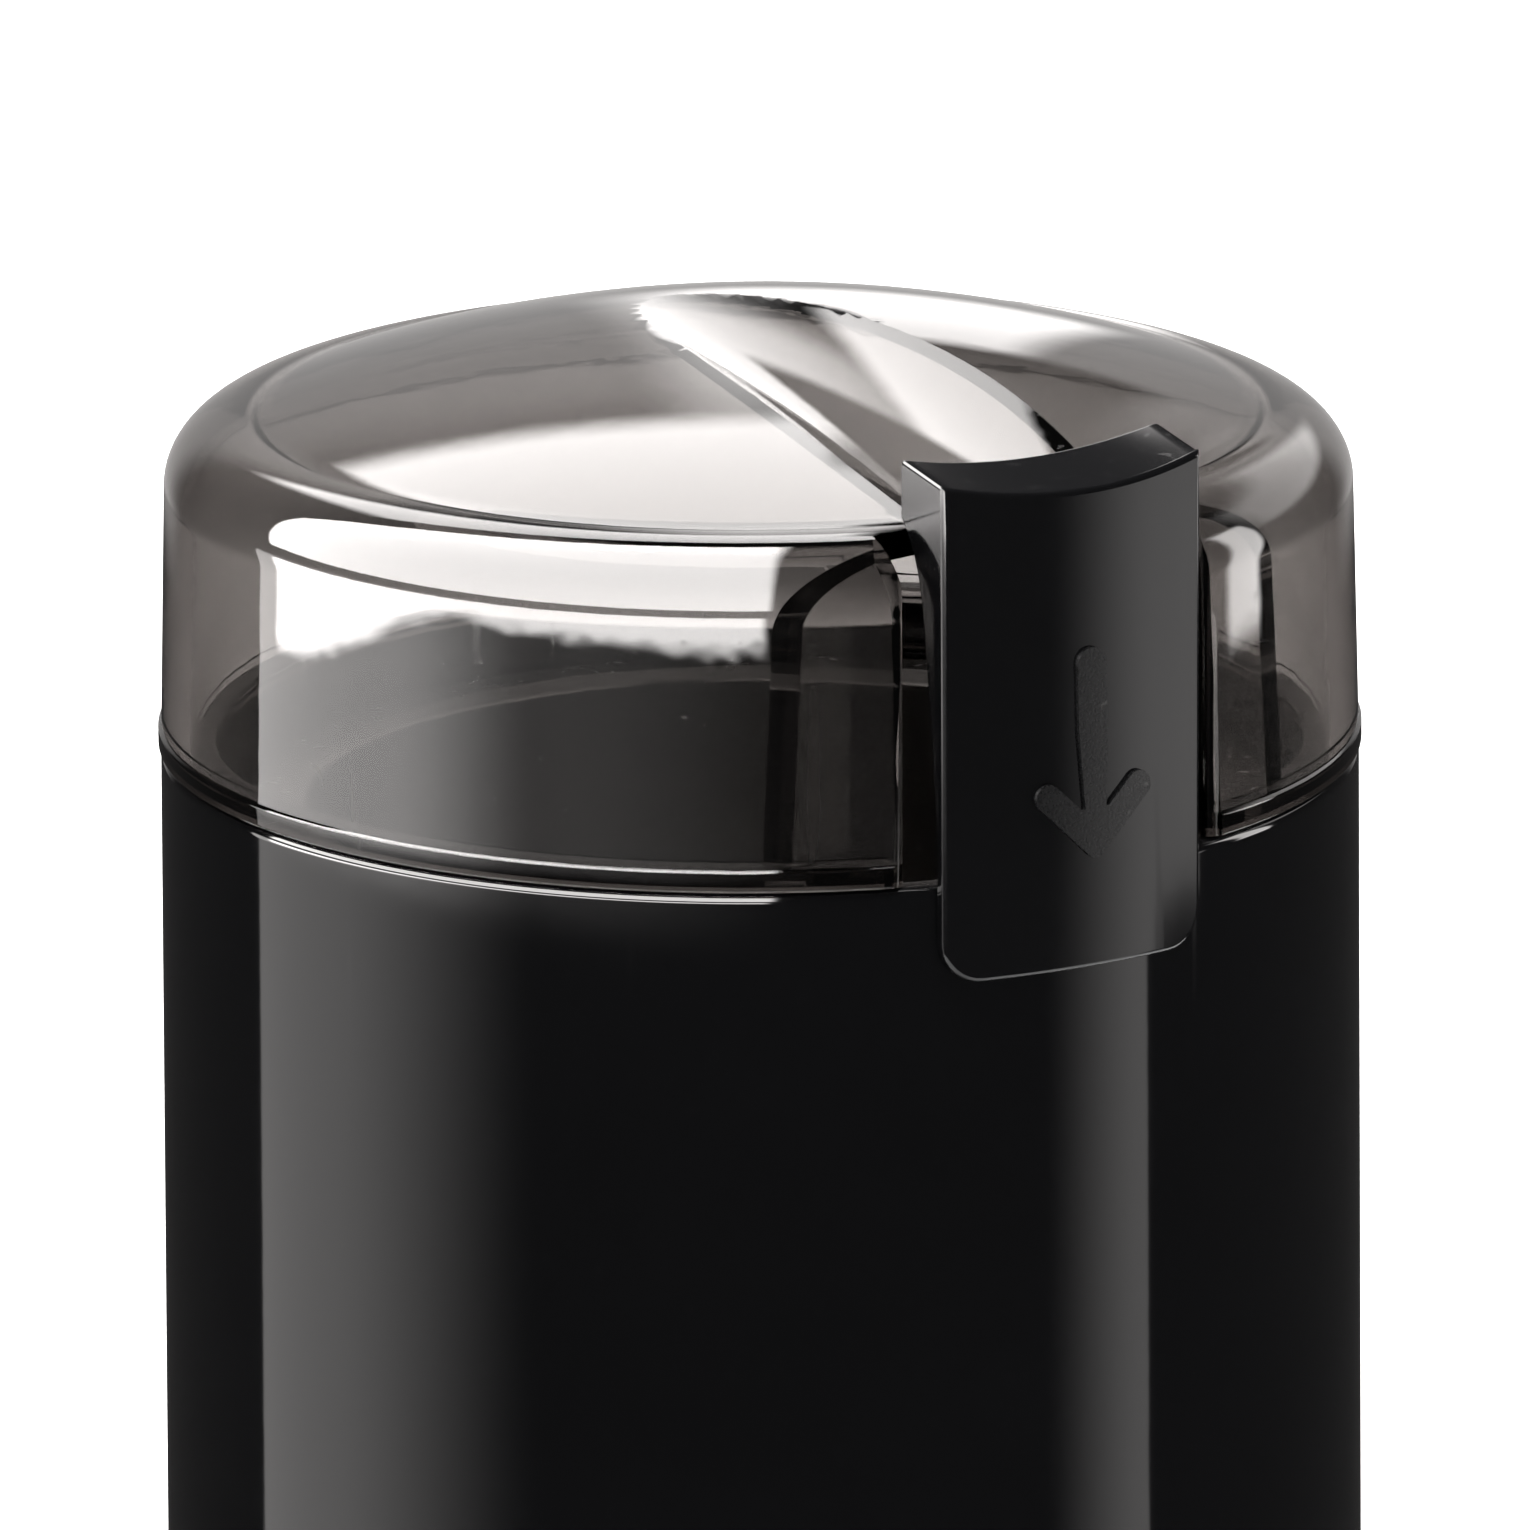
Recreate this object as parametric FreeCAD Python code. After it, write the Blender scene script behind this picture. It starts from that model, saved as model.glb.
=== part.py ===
import FreeCAD, Part
import math
import os

V = FreeCAD.Vector
UP = V(0, 0, 1)

# Electric spice grinder with a push-down blade motor, in millimetres.
# The origin is the middle of the face it stands on. Z is up and the button faces -Y.

# Driving sizes
RIM_Z = 136.0             # top edge of the motor housing, where the lid sits
RIM_R = 45.1              # outside radius of the housing at the rim
DRAFT = 0.37              # degrees per side, wider towards the bottom
WALL = 2.2                # moulded shell thickness
SKIRT_Z = 1.6             # bottom edge of the housing and of the base plate
SHAFT_R = 2.5
RUN = 0.05                # radial clearance of a running fit
SEAT = 0.1                # gap between the lid's rim and the housing

# Lid, heights above the rim
LID_WALL_TOP = 20.0       # where the side turns into the shoulder
LID_WALL_INSET = 0.5
RING_INSET = 7.1          # crease ring between shoulder and dome
RING_Z = 25.5
DOME_Z = 32.0
BEAD = 0.2                # small bead on the lid's lower edge
BEAD_H = 1.6
SPIGOT_H = 3.5            # locating ring that drops inside the housing
SPIGOT_GAP = 0.5
SPIGOT_T = 1.5
SLOT_HALF = 12.8          # slot for the button
SCREEN_Y = -38.0          # front face of the wall behind the slot
SCREEN_T = 2.0
TROUGH_R = 20.0           # finger trough across the dome
TROUGH_ENDS = ((14.0, 31.2), (-15.0, 28.3), (-36.0, 24.0))

# Button, standing up from the front of the housing
BUTTON_R = 46.2           # its front face follows the housing, a little proud
BUTTON_HALF = 11.0
BUTTON_TOP = 31.1
BUTTON_FRONT_TOP = 30.1
BUTTON_BOTTOM = -7.2
BUTTON_BACK_Y = -38.8
BACK_FOOT_Y = -43.7       # its back just above the housing's rim
PLATE_INNER_R = 45.35     # inside of the thin part that covers the notch
DISH_R = 50.0             # hollow across the top for the fingertip
LEG_HALF = 5.5
LEG_Y = (-42.2, -39.7)
FOOT_Z = 91.0
FOOT_T = 3.0
SPRING_X = 9.0
SPRING_Y = -36.5
PLUNGER_X = -4.0

# Lid interlock, turned this far from the front towards -X
LOCK_ANGLE = 28.0
LOCK_R = 40.2
PIN_R = 1.3
PIN_TOP = 131.5
PIN_BOTTOM = 104.0
LUG_BOTTOM = 131.6
LUG_HALF = 1.5

# Bowl
DECK_TOP = 131.5
DECK_T = 2.0
DECK_HOLE_R = 35.2
BOWL_R = 33.8
BOWL_FLOOR_R = 32.4
BOWL_FLOOR_Z = 95.0
BOWL_T = 0.6
BOWL_CORNER = 9.0
FLANGE_R = 38.0
GASKET_T = 0.6
STUD_PCR = 22.0
STUD_R = 2.6
STUD_L = 5.0
STUD_ANGLES = (90, 210, 330)

# Motor, heights above the floor
PLATE_T = 4.0
STACK_Z = (50.0, 70.0)    # laminations of stator and rotor
ROTOR_R = 11.7
BORE_R = 12.2
STATOR_X = 24.5
STATOR_Y = 23.5
WINDOW_X = 18.5
WINDOW_Y = 19.0
POLE_HALF = 8.0
SHOE_R = 14.5
TIE_X = 21.5
TIE_R = 1.5
UPPER_BUSH_Z = (82.5, 89.4)
LOWER_BUSH_Z = (22.5, 31.0)
BUSH_R = 5.0
COMMUTATOR_Z = (35.0, 45.0)
COMMUTATOR_R = 6.5
FAN_Z = (77.4, 81.4)
FAN_R = 17.0
BRIDGE_Z = (27.0, 31.0)
BLADE_Z = 100.0
BLADE_T = 1.5
BLADE_R = 29.5

# Base
BASE_T = 3.0
FOOT_PCR = 36.0
FOOT_R = 5.0
SCREW_PCR = 36.5
SCREW_ANGLES = (0, 180, 270)
GLAND_Z = 13.0


def box(x, y, z):
    """Box from three (low, high) pairs."""
    return Part.makeBox(x[1] - x[0], y[1] - y[0], z[1] - z[0], V(x[0], y[0], z[0]))


def rod(r, z, x=0.0, y=0.0):
    """Upright cylinder between two heights."""
    return Part.makeCylinder(r, z[1] - z[0], V(x, y, z[0]))


def tube(outer, inner, z, x=0.0, y=0.0):
    """Upright tube between two heights."""
    return rod(outer, z, x, y).cut(rod(inner, (z[0] - 1, z[1] + 1), x, y))


def revolve(edges):
    """Turn a closed outline in the XZ plane about Z."""
    return Part.Face(Part.Wire(edges)).revolve(V(0, 0, 0), UP, 360)


def line(a, b):
    """Straight edge between two (radius, height) points."""
    return Part.LineSegment(V(a[0], 0, a[1]), V(b[0], 0, b[1])).toShape()


def path(points):
    """Straight edges through a list of (radius, height) points."""
    return [line(a, b) for a, b in zip(points, points[1:])]


def arc(a, mid, b):
    """Circular edge through three (radius, height) points."""
    return Part.Arc(V(a[0], 0, a[1]), V(mid[0], 0, mid[1]), V(b[0], 0, b[1])).toShape()


def bend(centre, radii, first, last, bands):
    """Points round a bend in an outline, whose two radii may differ, for a few narrow bands."""
    angles = [math.radians(first + (last - first) * k / bands) for k in range(bands + 1)]
    return [(centre[0] + radii[0] * math.cos(a), centre[1] + radii[1] * math.sin(a)) for a in angles]


def turned(shape, degrees):
    """Copy of a shape turned about Z."""
    copy = shape.copy()
    copy.rotate(V(0, 0, 0), UP, degrees)
    return copy


def ring_of(shape, angles):
    """Copies of a shape about Z, one for each angle."""
    return [turned(shape, a) for a in angles]


def fuse(first, *others):
    """Join shapes into one solid without seams."""
    return first.fuse(list(others)).removeSplitter()


def polar(radius, degrees):
    """Plan position from a radius and an angle from +X."""
    return radius * math.cos(math.radians(degrees)), radius * math.sin(math.radians(degrees))


def coil_spring(radius, wire, z, turns):
    """Compression spring between two heights, its wire drawn with six flats."""
    low, high = z
    pitch = (high - low - 1.1 * wire) / turns
    helix = Part.makeHelix(pitch, pitch * turns, radius)
    corners = [V(radius + wire / 2 * math.cos(a), 0, wire / 2 * math.sin(a))
               for a in (math.pi / 3 * k for k in range(6))]
    section = Part.makePolygon(corners + corners[:1])
    coil = Part.Wire(helix.Edges).makePipeShell([section], True, True)
    coil.translate(V(0, 0, low + 0.55 * wire))
    return coil


def at_lock(shape):
    """Place a shape drawn at the front (-Y) at the interlock's angle."""
    return turned(shape, -LOCK_ANGLE)


def housing_radius(z):
    """Half width of the housing's outside at a height."""
    return RIM_R + (RIM_Z - z) * math.tan(math.radians(DRAFT))


def motor_housing():
    """Drawn-in tub with the bowl deck, guides, screw bosses and the notch for the button."""
    edge = 0.5
    low, high = housing_radius(SKIRT_Z), RIM_R
    corners = [(low - WALL, SKIRT_Z), (low - edge, SKIRT_Z), (low, SKIRT_Z + edge)]
    corners += bend((high - edge, RIM_Z - edge), (edge, edge), 0, 90, 2)
    shell = revolve(path(corners + [(high - WALL, RIM_Z), (low - WALL, SKIRT_Z)]))
    room = revolve(path([(0, SKIRT_Z), (low - WALL / 2, SKIRT_Z), (high - WALL / 2, RIM_Z),
                         (0, RIM_Z), (0, SKIRT_Z)]))
    deck = rod(60, (DECK_TOP - DECK_T, DECK_TOP)).cut(rod(DECK_HOLE_R, (120, 140)))
    guides = [box((s * 7.4 - 1.2, s * 7.4 + 1.2), (-46, -38.4), (98, 128)) for s in (-1, 1)]
    shelf = box((-14.5, 14.5), (-46, -31), (69.5, 72))
    cheeks = [box(x, (-46, -32), (69.5, 82)) for x in ((-14.5, -12.3), (4.3, 5.5))]
    shelf_ribs = [box((x - 0.8, x + 0.8), (-46, -34), (62, 69.5)) for x in (-11, 0, 11)]
    bosses = [rod(4.2, (SKIRT_Z + BASE_T + 0.2, 26), *polar(SCREW_PCR, a)) for a in SCREW_ANGLES]
    webs = ring_of(box((SCREW_PCR, 46), (-1, 1), (SKIRT_Z + BASE_T + 0.2, 24)), SCREW_ANGLES)
    ribs = ring_of(box((40.5, 46), (-0.7, 0.7), (30, 128)), (20, 62, 118, 160, 200, 340))
    lock_guide = at_lock(rod(2.9, (122, DECK_TOP - 0.5), 0, -LOCK_R))
    lock_web = at_lock(box((-0.8, 0.8), (-46, -LOCK_R - 1.5), (122, DECK_TOP - 0.5)))
    lock_shelf = at_lock(box((-7.2, 7.2), (-46, -35.6), (94, 96)))
    inside = fuse(deck, *(guides + cheeks + shelf_ribs + bosses + webs + ribs),
                  shelf, lock_guide, lock_web, lock_shelf)
    housing = fuse(shell, inside.common(room))
    pilots = [rod(1.55, (0, 22), *polar(SCREW_PCR, a)) for a in SCREW_ANGLES]
    notch = box((-6.1, 6.1), (-50, -38.4), (129.9, 140))
    leg_way = box((-6.1, 6.1), (-42.6, -39.2), (120, 140))
    tab_ways = [at_lock(box((x - 0.9, x + 0.9), (-40.7, -36.7), (90, 97))) for x in (-4.0, 4.0)]
    pin_way = at_lock(rod(PIN_R + 0.2, (110, 140), 0, -LOCK_R))
    cord_way = oblong(4.2, 2.8, (40, 50))
    cord_seat = oblong(5.8, 4.4, (housing_radius(GLAND_Z) - 0.9, 50))
    return housing.cut(pilots + tab_ways + [notch, leg_way, pin_way, cord_way, cord_seat])


def oblong(half_x, half_z, y):
    """Rounded bar along Y at the cord inlet's height."""
    shape = box((-half_x + half_z, half_x - half_z), y, (GLAND_Z - half_z, GLAND_Z + half_z))
    for side in (-1, 1):
        centre = V(side * (half_x - half_z), y[0], GLAND_Z)
        shape = shape.fuse(Part.makeCylinder(half_z, y[1] - y[0], centre, V(0, 1, 0)))
    return shape.removeSplitter()


def cord_gland():
    """Rubber grommet of the mains inlet, with the flat hole for a two-core cord."""
    wall_y = housing_radius(GLAND_Z)
    neck = oblong(4.0, 2.6, (wall_y - 4.0, wall_y))
    outer = oblong(5.6, 4.2, (wall_y - 0.9, BUTTON_R))
    inner = oblong(5.6, 4.2, (wall_y - 4.6, wall_y - WALL - 0.4))
    return fuse(neck, outer, inner).cut(oblong(2.7, 1.7, (30, 60)))


def base_plate():
    """Moulded bottom cover with vents, foot pockets, sunk screw holes and the motor socket."""
    top = SKIRT_Z + BASE_T
    low = housing_radius(SKIRT_Z) - WALL - 0.3
    plate = rod(low, (SKIRT_Z, top))
    socket = tube(11.5, 9.2, (top - 0.5, 17))
    pedestal = rod(4.5, (top - 0.5, 12))
    spokes = ring_of(box((4, 11), (-0.8, 0.8), (top - 0.5, 11.8)), (30, 90, 150, 210, 270, 330))
    stiffeners = ring_of(box((11, 31), (-0.7, 0.7), (top - 0.5, 8.5)), (0, 60, 120, 180, 240, 300))
    plate = fuse(plate, socket, pedestal, *(spokes + stiffeners))
    vents = []
    for radius, half in ((17.0, 20), (21.5, 21), (26.0, 22)):
        slot = tube(radius + 1.1, radius - 1.1, (0, top + 1)).common(wedge(2 * half))
        vents += ring_of(slot, (30 - half, 90 - half, 150 - half, 210 - half, 270 - half, 330 - half))
    pockets = [rod(FOOT_R + 0.1, (0, SKIRT_Z + 1.4), *polar(FOOT_PCR, a)) for a in (45, 135, 225, 315)]
    holes = [rod(1.9, (0, 6), *polar(SCREW_PCR, a)) for a in SCREW_ANGLES]
    sinks = [rod(3.4, (0, SKIRT_Z + 1.8), *polar(SCREW_PCR, a)) for a in SCREW_ANGLES]
    return plate.cut(vents + pockets + holes + sinks)


def wedge(degrees):
    """Sector of a tall disc that starts at +X."""
    return Part.makeCylinder(60, 60, V(0, 0, -20), UP, degrees)


def rubber_feet():
    """Four soft pads with bevelled soles, set in the base plate's pockets."""
    top = SKIRT_Z + 1.4
    pad = revolve(path([(0, 0), (FOOT_R - 0.8, 0), (FOOT_R, 0.8), (FOOT_R, top), (0, top), (0, 0)]))
    feet = []
    for angle in (45, 135, 225, 315):
        foot = pad.copy()
        foot.translate(V(*polar(FOOT_PCR, angle), 0))
        feet.append(foot)
    return Part.makeCompound(feet)


def screw(head_r, head_h, shank_r, length):
    """Pan-head screw with its head's underside at z = 0, pointing up."""
    solid = revolve(path([(0, -head_h), (head_r * 0.7, -head_h), (head_r, -head_h * 0.5),
                          (head_r, 0), (shank_r, 0), (shank_r, length - 1),
                          (shank_r * 0.4, length), (0, length), (0, -head_h)]))
    for angle in (0, 90):
        bar = box((-head_r * 0.55, head_r * 0.55), (-0.3, 0.3), (-head_h - 1, -head_h * 0.4))
        solid = solid.cut(turned(bar, angle))
    return solid


def placed(shape, places, z):
    """Group of copies, one at each plan position."""
    copies = []
    for x, y in places:
        copy = shape.copy()
        copy.translate(V(x, y, z))
        copies.append(copy)
    return Part.makeCompound(copies)


def base_screws():
    """Three self-tapping screws up through the base plate into the housing's bosses."""
    places = [polar(SCREW_PCR, a) for a in SCREW_ANGLES]
    return placed(screw(3.1, 1.6, 1.5, 14), places, SKIRT_Z + 1.8)


def grinding_bowl():
    """Deep-drawn steel cup with a flange, a raised floor centre and weld studs below."""
    top = DECK_TOP + GASKET_T + BOWL_T
    floor = BOWL_FLOOR_Z
    t = BOWL_T
    slope = (BOWL_R - BOWL_FLOOR_R) / (top - floor)
    side = BOWL_FLOOR_R + slope * BOWL_CORNER
    corner = (side - BOWL_CORNER, floor + BOWL_CORNER)
    lip = (BOWL_R + 1.2, top - 1.2)
    outline = [(5.2, floor + 2), (9, floor + 2), (10.8, floor + 1.2), (12, floor)]
    outline += bend(corner, (BOWL_CORNER, BOWL_CORNER), -90, 0, 4)
    outline += bend(lip, (1.2, 1.2), 180, 90, 2)
    outline += [(FLANGE_R, top), (FLANGE_R, top - t)]
    outline += bend(lip, (1.2 - t, 1.2 - t), 90, 180, 2)
    outline += bend(corner, (BOWL_CORNER + t, BOWL_CORNER + t), 0, -90, 4)
    outline += [(11.7, floor - t), (10.4, floor + 0.7), (9, floor + 2 - t), (5.2, floor + 2 - t),
                (5.2, floor + 2)]
    cup = revolve(path(outline))
    studs = []
    for angle in STUD_ANGLES:
        x, y = polar(STUD_PCR, angle)
        stud = rod(STUD_R, (floor - t - STUD_L, floor - 0.1), x, y)
        studs.append(stud.cut(rod(1.6, (floor - t - STUD_L - 1, floor - 1.6), x, y)))
    return fuse(cup, *studs)


def bowl_gasket():
    """Flat rubber ring between the bowl's flange and the housing's deck."""
    return tube(FLANGE_R, DECK_HOLE_R + 0.4, (DECK_TOP, DECK_TOP + GASKET_T))


def shaft_seal():
    """Rubber grommet with a lip that wipes the motor shaft in the bowl's floor."""
    floor = BOWL_FLOOR_Z + 2.0
    bore = SHAFT_R + RUN
    return revolve(path([(bore, floor - 2.6), (7.2, floor - 2.6), (7.2, floor - BOWL_T - 0.05),
                         (5.1, floor - BOWL_T - 0.05), (5.1, floor + 0.05), (6.8, floor + 0.05),
                         (6.2, floor + 0.9), (bore + 1.2, floor + 1.3), (bore, floor + 1.3),
                         (bore, floor - 0.2), (bore + 1.0, floor - 0.9), (bore, floor - 1.6),
                         (bore, floor - 2.6)]))


def blade_section(radius, width, rise, pitch):
    """Cross-section of one wing: flat underside and a ground leading edge."""
    half = width / 2
    corners = [(-half, 0), (half, 0), (half, 0.25), (half - 2.6, BLADE_T), (-half, BLADE_T)]
    tilt = math.radians(pitch)
    points = []
    for along, up in corners:
        y = along * math.cos(tilt) - up * math.sin(tilt)
        z = along * math.sin(tilt) + up * math.cos(tilt)
        points.append(V(radius, y, BLADE_Z + rise + z))
    return Part.makePolygon(points + points[:1])


def blade():
    """Two-wing stainless blade, swept up and twisted towards the tips."""
    wing = Part.makeLoft([blade_section(5.0, 13.0, 0.0, 0.0),
                          blade_section(13.0, 12.5, 0.0, -2.0),
                          blade_section(22.0, 10.5, 1.6, -9.0),
                          blade_section(BLADE_R, 7.0, 4.6, -15.0)], True, False)
    hub = rod(8.0, (BLADE_Z, BLADE_Z + BLADE_T))
    both = fuse(hub, wing, turned(wing, 180))
    flats = rod(SHAFT_R, (BLADE_Z - 1, BLADE_Z + 6)).common(box((-2.0, 2.0), (-5, 5), (90, 110)))
    return both.cut(grown_flats(flats))


def grown_flats(flats):
    """Shaft end with two flats, 0.04 mm larger all round, for its hole."""
    scale = FreeCAD.Matrix()
    scale.scale(1.016, 1.016, 1)
    return flats.transformGeometry(scale)


def blade_nut():
    """Domed cap nut with two spanner flats that clamps the blade."""
    low = BLADE_Z + BLADE_T
    outline = path([(0, low), (6.4, low), (6.4, low + 3.2)])
    outline.append(arc((6.4, low + 3.2), (4.6, low + 5.4), (0, low + 6.4)))
    outline.append(line((0, low + 6.4), (0, low)))
    nut = revolve(outline).common(box((-8, 8), (-5.4, 5.4), (low, low + 8)))
    return nut.cut(rod(SHAFT_R - 0.3, (low - 1, low + 4)))


def motor_shaft():
    """Ground steel shaft with flats and a threaded end for the blade."""
    body = rod(SHAFT_R, (21.0, BLADE_Z))
    flats = rod(SHAFT_R, (BLADE_Z - 0.5, BLADE_Z + BLADE_T)).common(
        box((-2.0, 2.0), (-5, 5), (90, 110)))
    thread = rod(SHAFT_R - 0.35, (BLADE_Z, BLADE_Z + 5.2))
    tip = Part.makeCone(1.6, SHAFT_R, 0.9, V(0, 0, 20.1))
    return fuse(body, flats, thread, tip)


def rotor_core():
    """Stack of laminations with twelve winding slots, pressed on the shaft."""
    core = tube(ROTOR_R, SHAFT_R, STACK_Z)
    slot = fuse(box((8.6, 13), (-0.6, 0.6), (STACK_Z[0] - 1, STACK_Z[1] + 1)),
                rod(1.5, (STACK_Z[0] - 1, STACK_Z[1] + 1), 8.0))
    return core.cut(ring_of(slot, range(0, 360, 30)))


def rotor_windings():
    """Copper end turns above and below the core, joined through its slots."""
    low, high = STACK_Z
    bars = ring_of(box((6.8, 9.3), (-0.5, 0.5), (low - 1, high + 1)), range(0, 360, 30))
    heads = []
    for z0, z1 in ((low - 3.6, low - 0.1), (high + 0.1, high + 5.0)):
        heads.append(revolve(path([(3.2, z0), (8.2, z0), (9.8, z0 + 1.1), (9.8, z1 - 1.1), (8.2, z1),
                                   (3.2, z1), (3.2, z0)])))
    return fuse(heads[0], heads[1], *bars)


def commutator():
    """Copper segments on an insulating sleeve, parted by fine slots, with a riser ring."""
    low, high = COMMUTATOR_Z
    drum = revolve(path([(SHAFT_R, low), (COMMUTATOR_R, low), (COMMUTATOR_R, high - 1.6),
                         (COMMUTATOR_R + 1.1, high - 1.6), (COMMUTATOR_R + 1.1, high),
                         (SHAFT_R, high), (SHAFT_R, low)]))
    gap = box((COMMUTATOR_R - 0.7, COMMUTATOR_R + 2), (-0.2, 0.2), (low - 1, high + 1))
    return drum.cut(ring_of(gap, range(15, 375, 30)))


def cooling_fan():
    """Moulded fan with curved blades that draws air up past the windings."""
    low, high = FAN_Z
    hub = tube(6.0, SHAFT_R, FAN_Z)
    disc = tube(FAN_R, SHAFT_R, (high - 1.0, high))
    vane = tube(14.0, 13.1, (low, high - 0.5), 8.0, 11.0).common(
        tube(FAN_R, 6.5, (low, high - 0.5))).common(box((0, 30), (-6, 4), (low, high)))
    return fuse(hub, disc, *ring_of(vane, range(0, 360, 40)))


def thrust_washers():
    """Fibre washers on the shaft that take its end play at both bushes."""
    lower = tube(4.4, SHAFT_R, (LOWER_BUSH_Z[1] + 0.15, LOWER_BUSH_Z[1] + 1.0))
    upper = tube(4.4, SHAFT_R, (UPPER_BUSH_Z[0] - 1.0, UPPER_BUSH_Z[0] - 0.15))
    return Part.makeCompound([lower, upper])


def stator_core():
    """Laminated field stack: square yoke, two poles with shoes round the rotor."""
    z = STACK_Z
    yoke = box((-STATOR_X, STATOR_X), (-STATOR_Y, STATOR_Y), z)
    upright = [e for e in yoke.Edges if abs(e.tangentAt(0).z) > 0.9]
    yoke = yoke.makeFillet(5.0, upright)
    window = box((-WINDOW_X, WINDOW_X), (-WINDOW_Y, WINDOW_Y), (z[0] - 1, z[1] + 1))
    yoke = yoke.cut(window)
    poles = box((-POLE_HALF, POLE_HALF), (-WINDOW_Y - 1, WINDOW_Y + 1), z)
    shoes = rod(SHOE_R, z).common(fuse(
        box((-11.5, 11.5), (-16, -6), z), box((-11.5, 11.5), (6, 16), z)))
    ties = [rod(TIE_R + 0.2, (z[0] - 1, z[1] + 1), s * TIE_X) for s in (-1, 1)]
    return fuse(yoke, poles, shoes).cut([rod(BORE_R, (z[0] - 1, z[1] + 1))] + ties)


def field_coils():
    """Two taped field coils, one round the neck of each pole."""
    low, high = STACK_Z
    y = (SHOE_R + 0.4, WINDOW_Y - 0.3)
    outer = box((-16.6, 16.6), y, (low - 6.5, high + 6.5))
    along = [e for e in outer.Edges if abs(e.tangentAt(0).y) > 0.9]
    outer = outer.makeFillet(5.5, along)
    coil = outer.cut(box((-POLE_HALF - 0.3, POLE_HALF + 0.3), (0, 30), (low - 0.4, high + 0.4)))
    return Part.makeCompound([coil, turned(coil, 180)])


def upper_bracket():
    """Cast plate under the bowl with the upper bush's seat and two legs to the stator."""
    top = BOWL_FLOOR_Z - BOWL_T - STUD_L
    plate = rod(28.5, (top - PLATE_T, top))
    seat = rod(8.5, (UPPER_BUSH_Z[0] - 0.6, top))
    legs = [rod(3.6, (STACK_Z[1], top - 1), s * TIE_X) for s in (-1, 1)]
    bracket = fuse(plate, seat, *legs)
    windows = ring_of(tube(25.5, 11.5, (70, 100)).common(wedge(36)), (102, 222, 342))
    clear = [rod(1.7, (70, 100), *polar(STUD_PCR, a)) for a in STUD_ANGLES]
    blind = [rod(TIE_R + 0.05, (60, top - 1.5), s * TIE_X) for s in (-1, 1)]
    bore = rod(BUSH_R, (70, 100))
    return bracket.cut(windows + clear + blind + [bore])


def bracket_screws():
    """Three machine screws up through the bracket into the bowl's studs."""
    places = [polar(STUD_PCR, a) for a in STUD_ANGLES]
    top = BOWL_FLOOR_Z - BOWL_T - STUD_L
    return placed(screw(2.8, 1.9, 1.5, 7.2), places, top - PLATE_T)


def lower_bracket():
    """Moulded bridge below the stator with the lower bush and the brush pedestals."""
    low, high = BRIDGE_Z
    bar = box((-TIE_X - 3.4, TIE_X + 3.4), (-8, 8), BRIDGE_Z)
    cross = box((-7, 7), (-20, 20), BRIDGE_Z)
    boss = rod(8.0, (20, high))
    posts = [rod(3.4, (high - 1, STACK_Z[0]), s * TIE_X) for s in (-1, 1)]
    pedestals = [box((-4, 4), y, (high - 1, 36.6)) for y in ((-19, -10), (10, 19))]
    bracket = fuse(bar, cross, boss, *(posts + pedestals))
    ties = [rod(TIE_R + 0.2, (10, 60), s * TIE_X) for s in (-1, 1)]
    sinks = [rod(3.2, (10, low + 1.0), s * TIE_X) for s in (-1, 1)]
    return bracket.cut(ties + sinks + [rod(BUSH_R, (22.3, 40)), rod(3.4, (10, 30))])


def motor_screws():
    """Two long screws that clamp the bridge, the stator and the upper bracket."""
    places = [(s * TIE_X, 0) for s in (-1, 1)]
    return placed(screw(2.9, 1.9, TIE_R, 50), places, BRIDGE_Z[0] + 1.0)


def bush(z):
    """Sintered bronze bush with a chamfered upper end."""
    low, high = z
    return revolve(path([(SHAFT_R + RUN, low), (BUSH_R - 0.02, low), (BUSH_R - 0.02, high - 0.5),
                         (BUSH_R - 0.5, high), (SHAFT_R + RUN, high), (SHAFT_R + RUN, low)]))


def brush_holders():
    """Two brass boxes that guide the carbon brushes to the commutator."""
    case = box((-3.4, 3.4), (8.2, 19.6), (36.6, 43.4))
    way = box((-2.6, 2.6), (0, 19.1), (37.4, 42.6))
    holder = case.cut(way)
    return Part.makeCompound([holder, turned(holder, 180)])


def carbon_brushes():
    """Two carbon blocks whose faces are worn to the commutator's curve."""
    block = box((-2.5, 2.5), (4, 15.0), (37.5, 42.5)).cut(rod(COMMUTATOR_R + 0.12, (30, 50)))
    return Part.makeCompound([block, turned(block, 180)])


def brush_springs():
    """Two small springs that press the brushes inwards."""
    spring = coil_spring(1.6, 0.6, (15.05, 19.05), 3)
    spring.rotate(V(0, 0, 0), V(1, 0, 0), -90)
    spring.translate(V(0, 0, 40))
    return Part.makeCompound([spring, turned(spring, 180)])


def motor_cushion():
    """Rubber cup that carries the motor's tail on the base plate."""
    return revolve(path([(4.0, 12.0), (9.0, 12.0), (9.0, 24.0), (8.1, 24.0), (8.1, 20.0),
                         (4.0, 20.0), (4.0, 12.0)]))


def switch_body():
    """Momentary switch block on the shelf inside the front wall, with its terminals."""
    case = box((-12.0, 4.0), (-39.6, -32.4), (72.0, 86.0))
    upright = [e for e in case.Edges if abs(e.tangentAt(0).z) > 0.9]
    case = case.makeFillet(0.8, upright)
    collar = tube(3.1, 2.2, (85.5, 86.8), PLUNGER_X, -36.0)
    tabs = [box((x - 0.4, x + 0.4), (-32.6, -27.5), (75.0, 79.8)) for x in (-9.0, 1.0)]
    way = rod(2.0, (76.0, 90.0), PLUNGER_X, -36.0)
    return fuse(case, collar, *tabs).cut(way)


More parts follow.
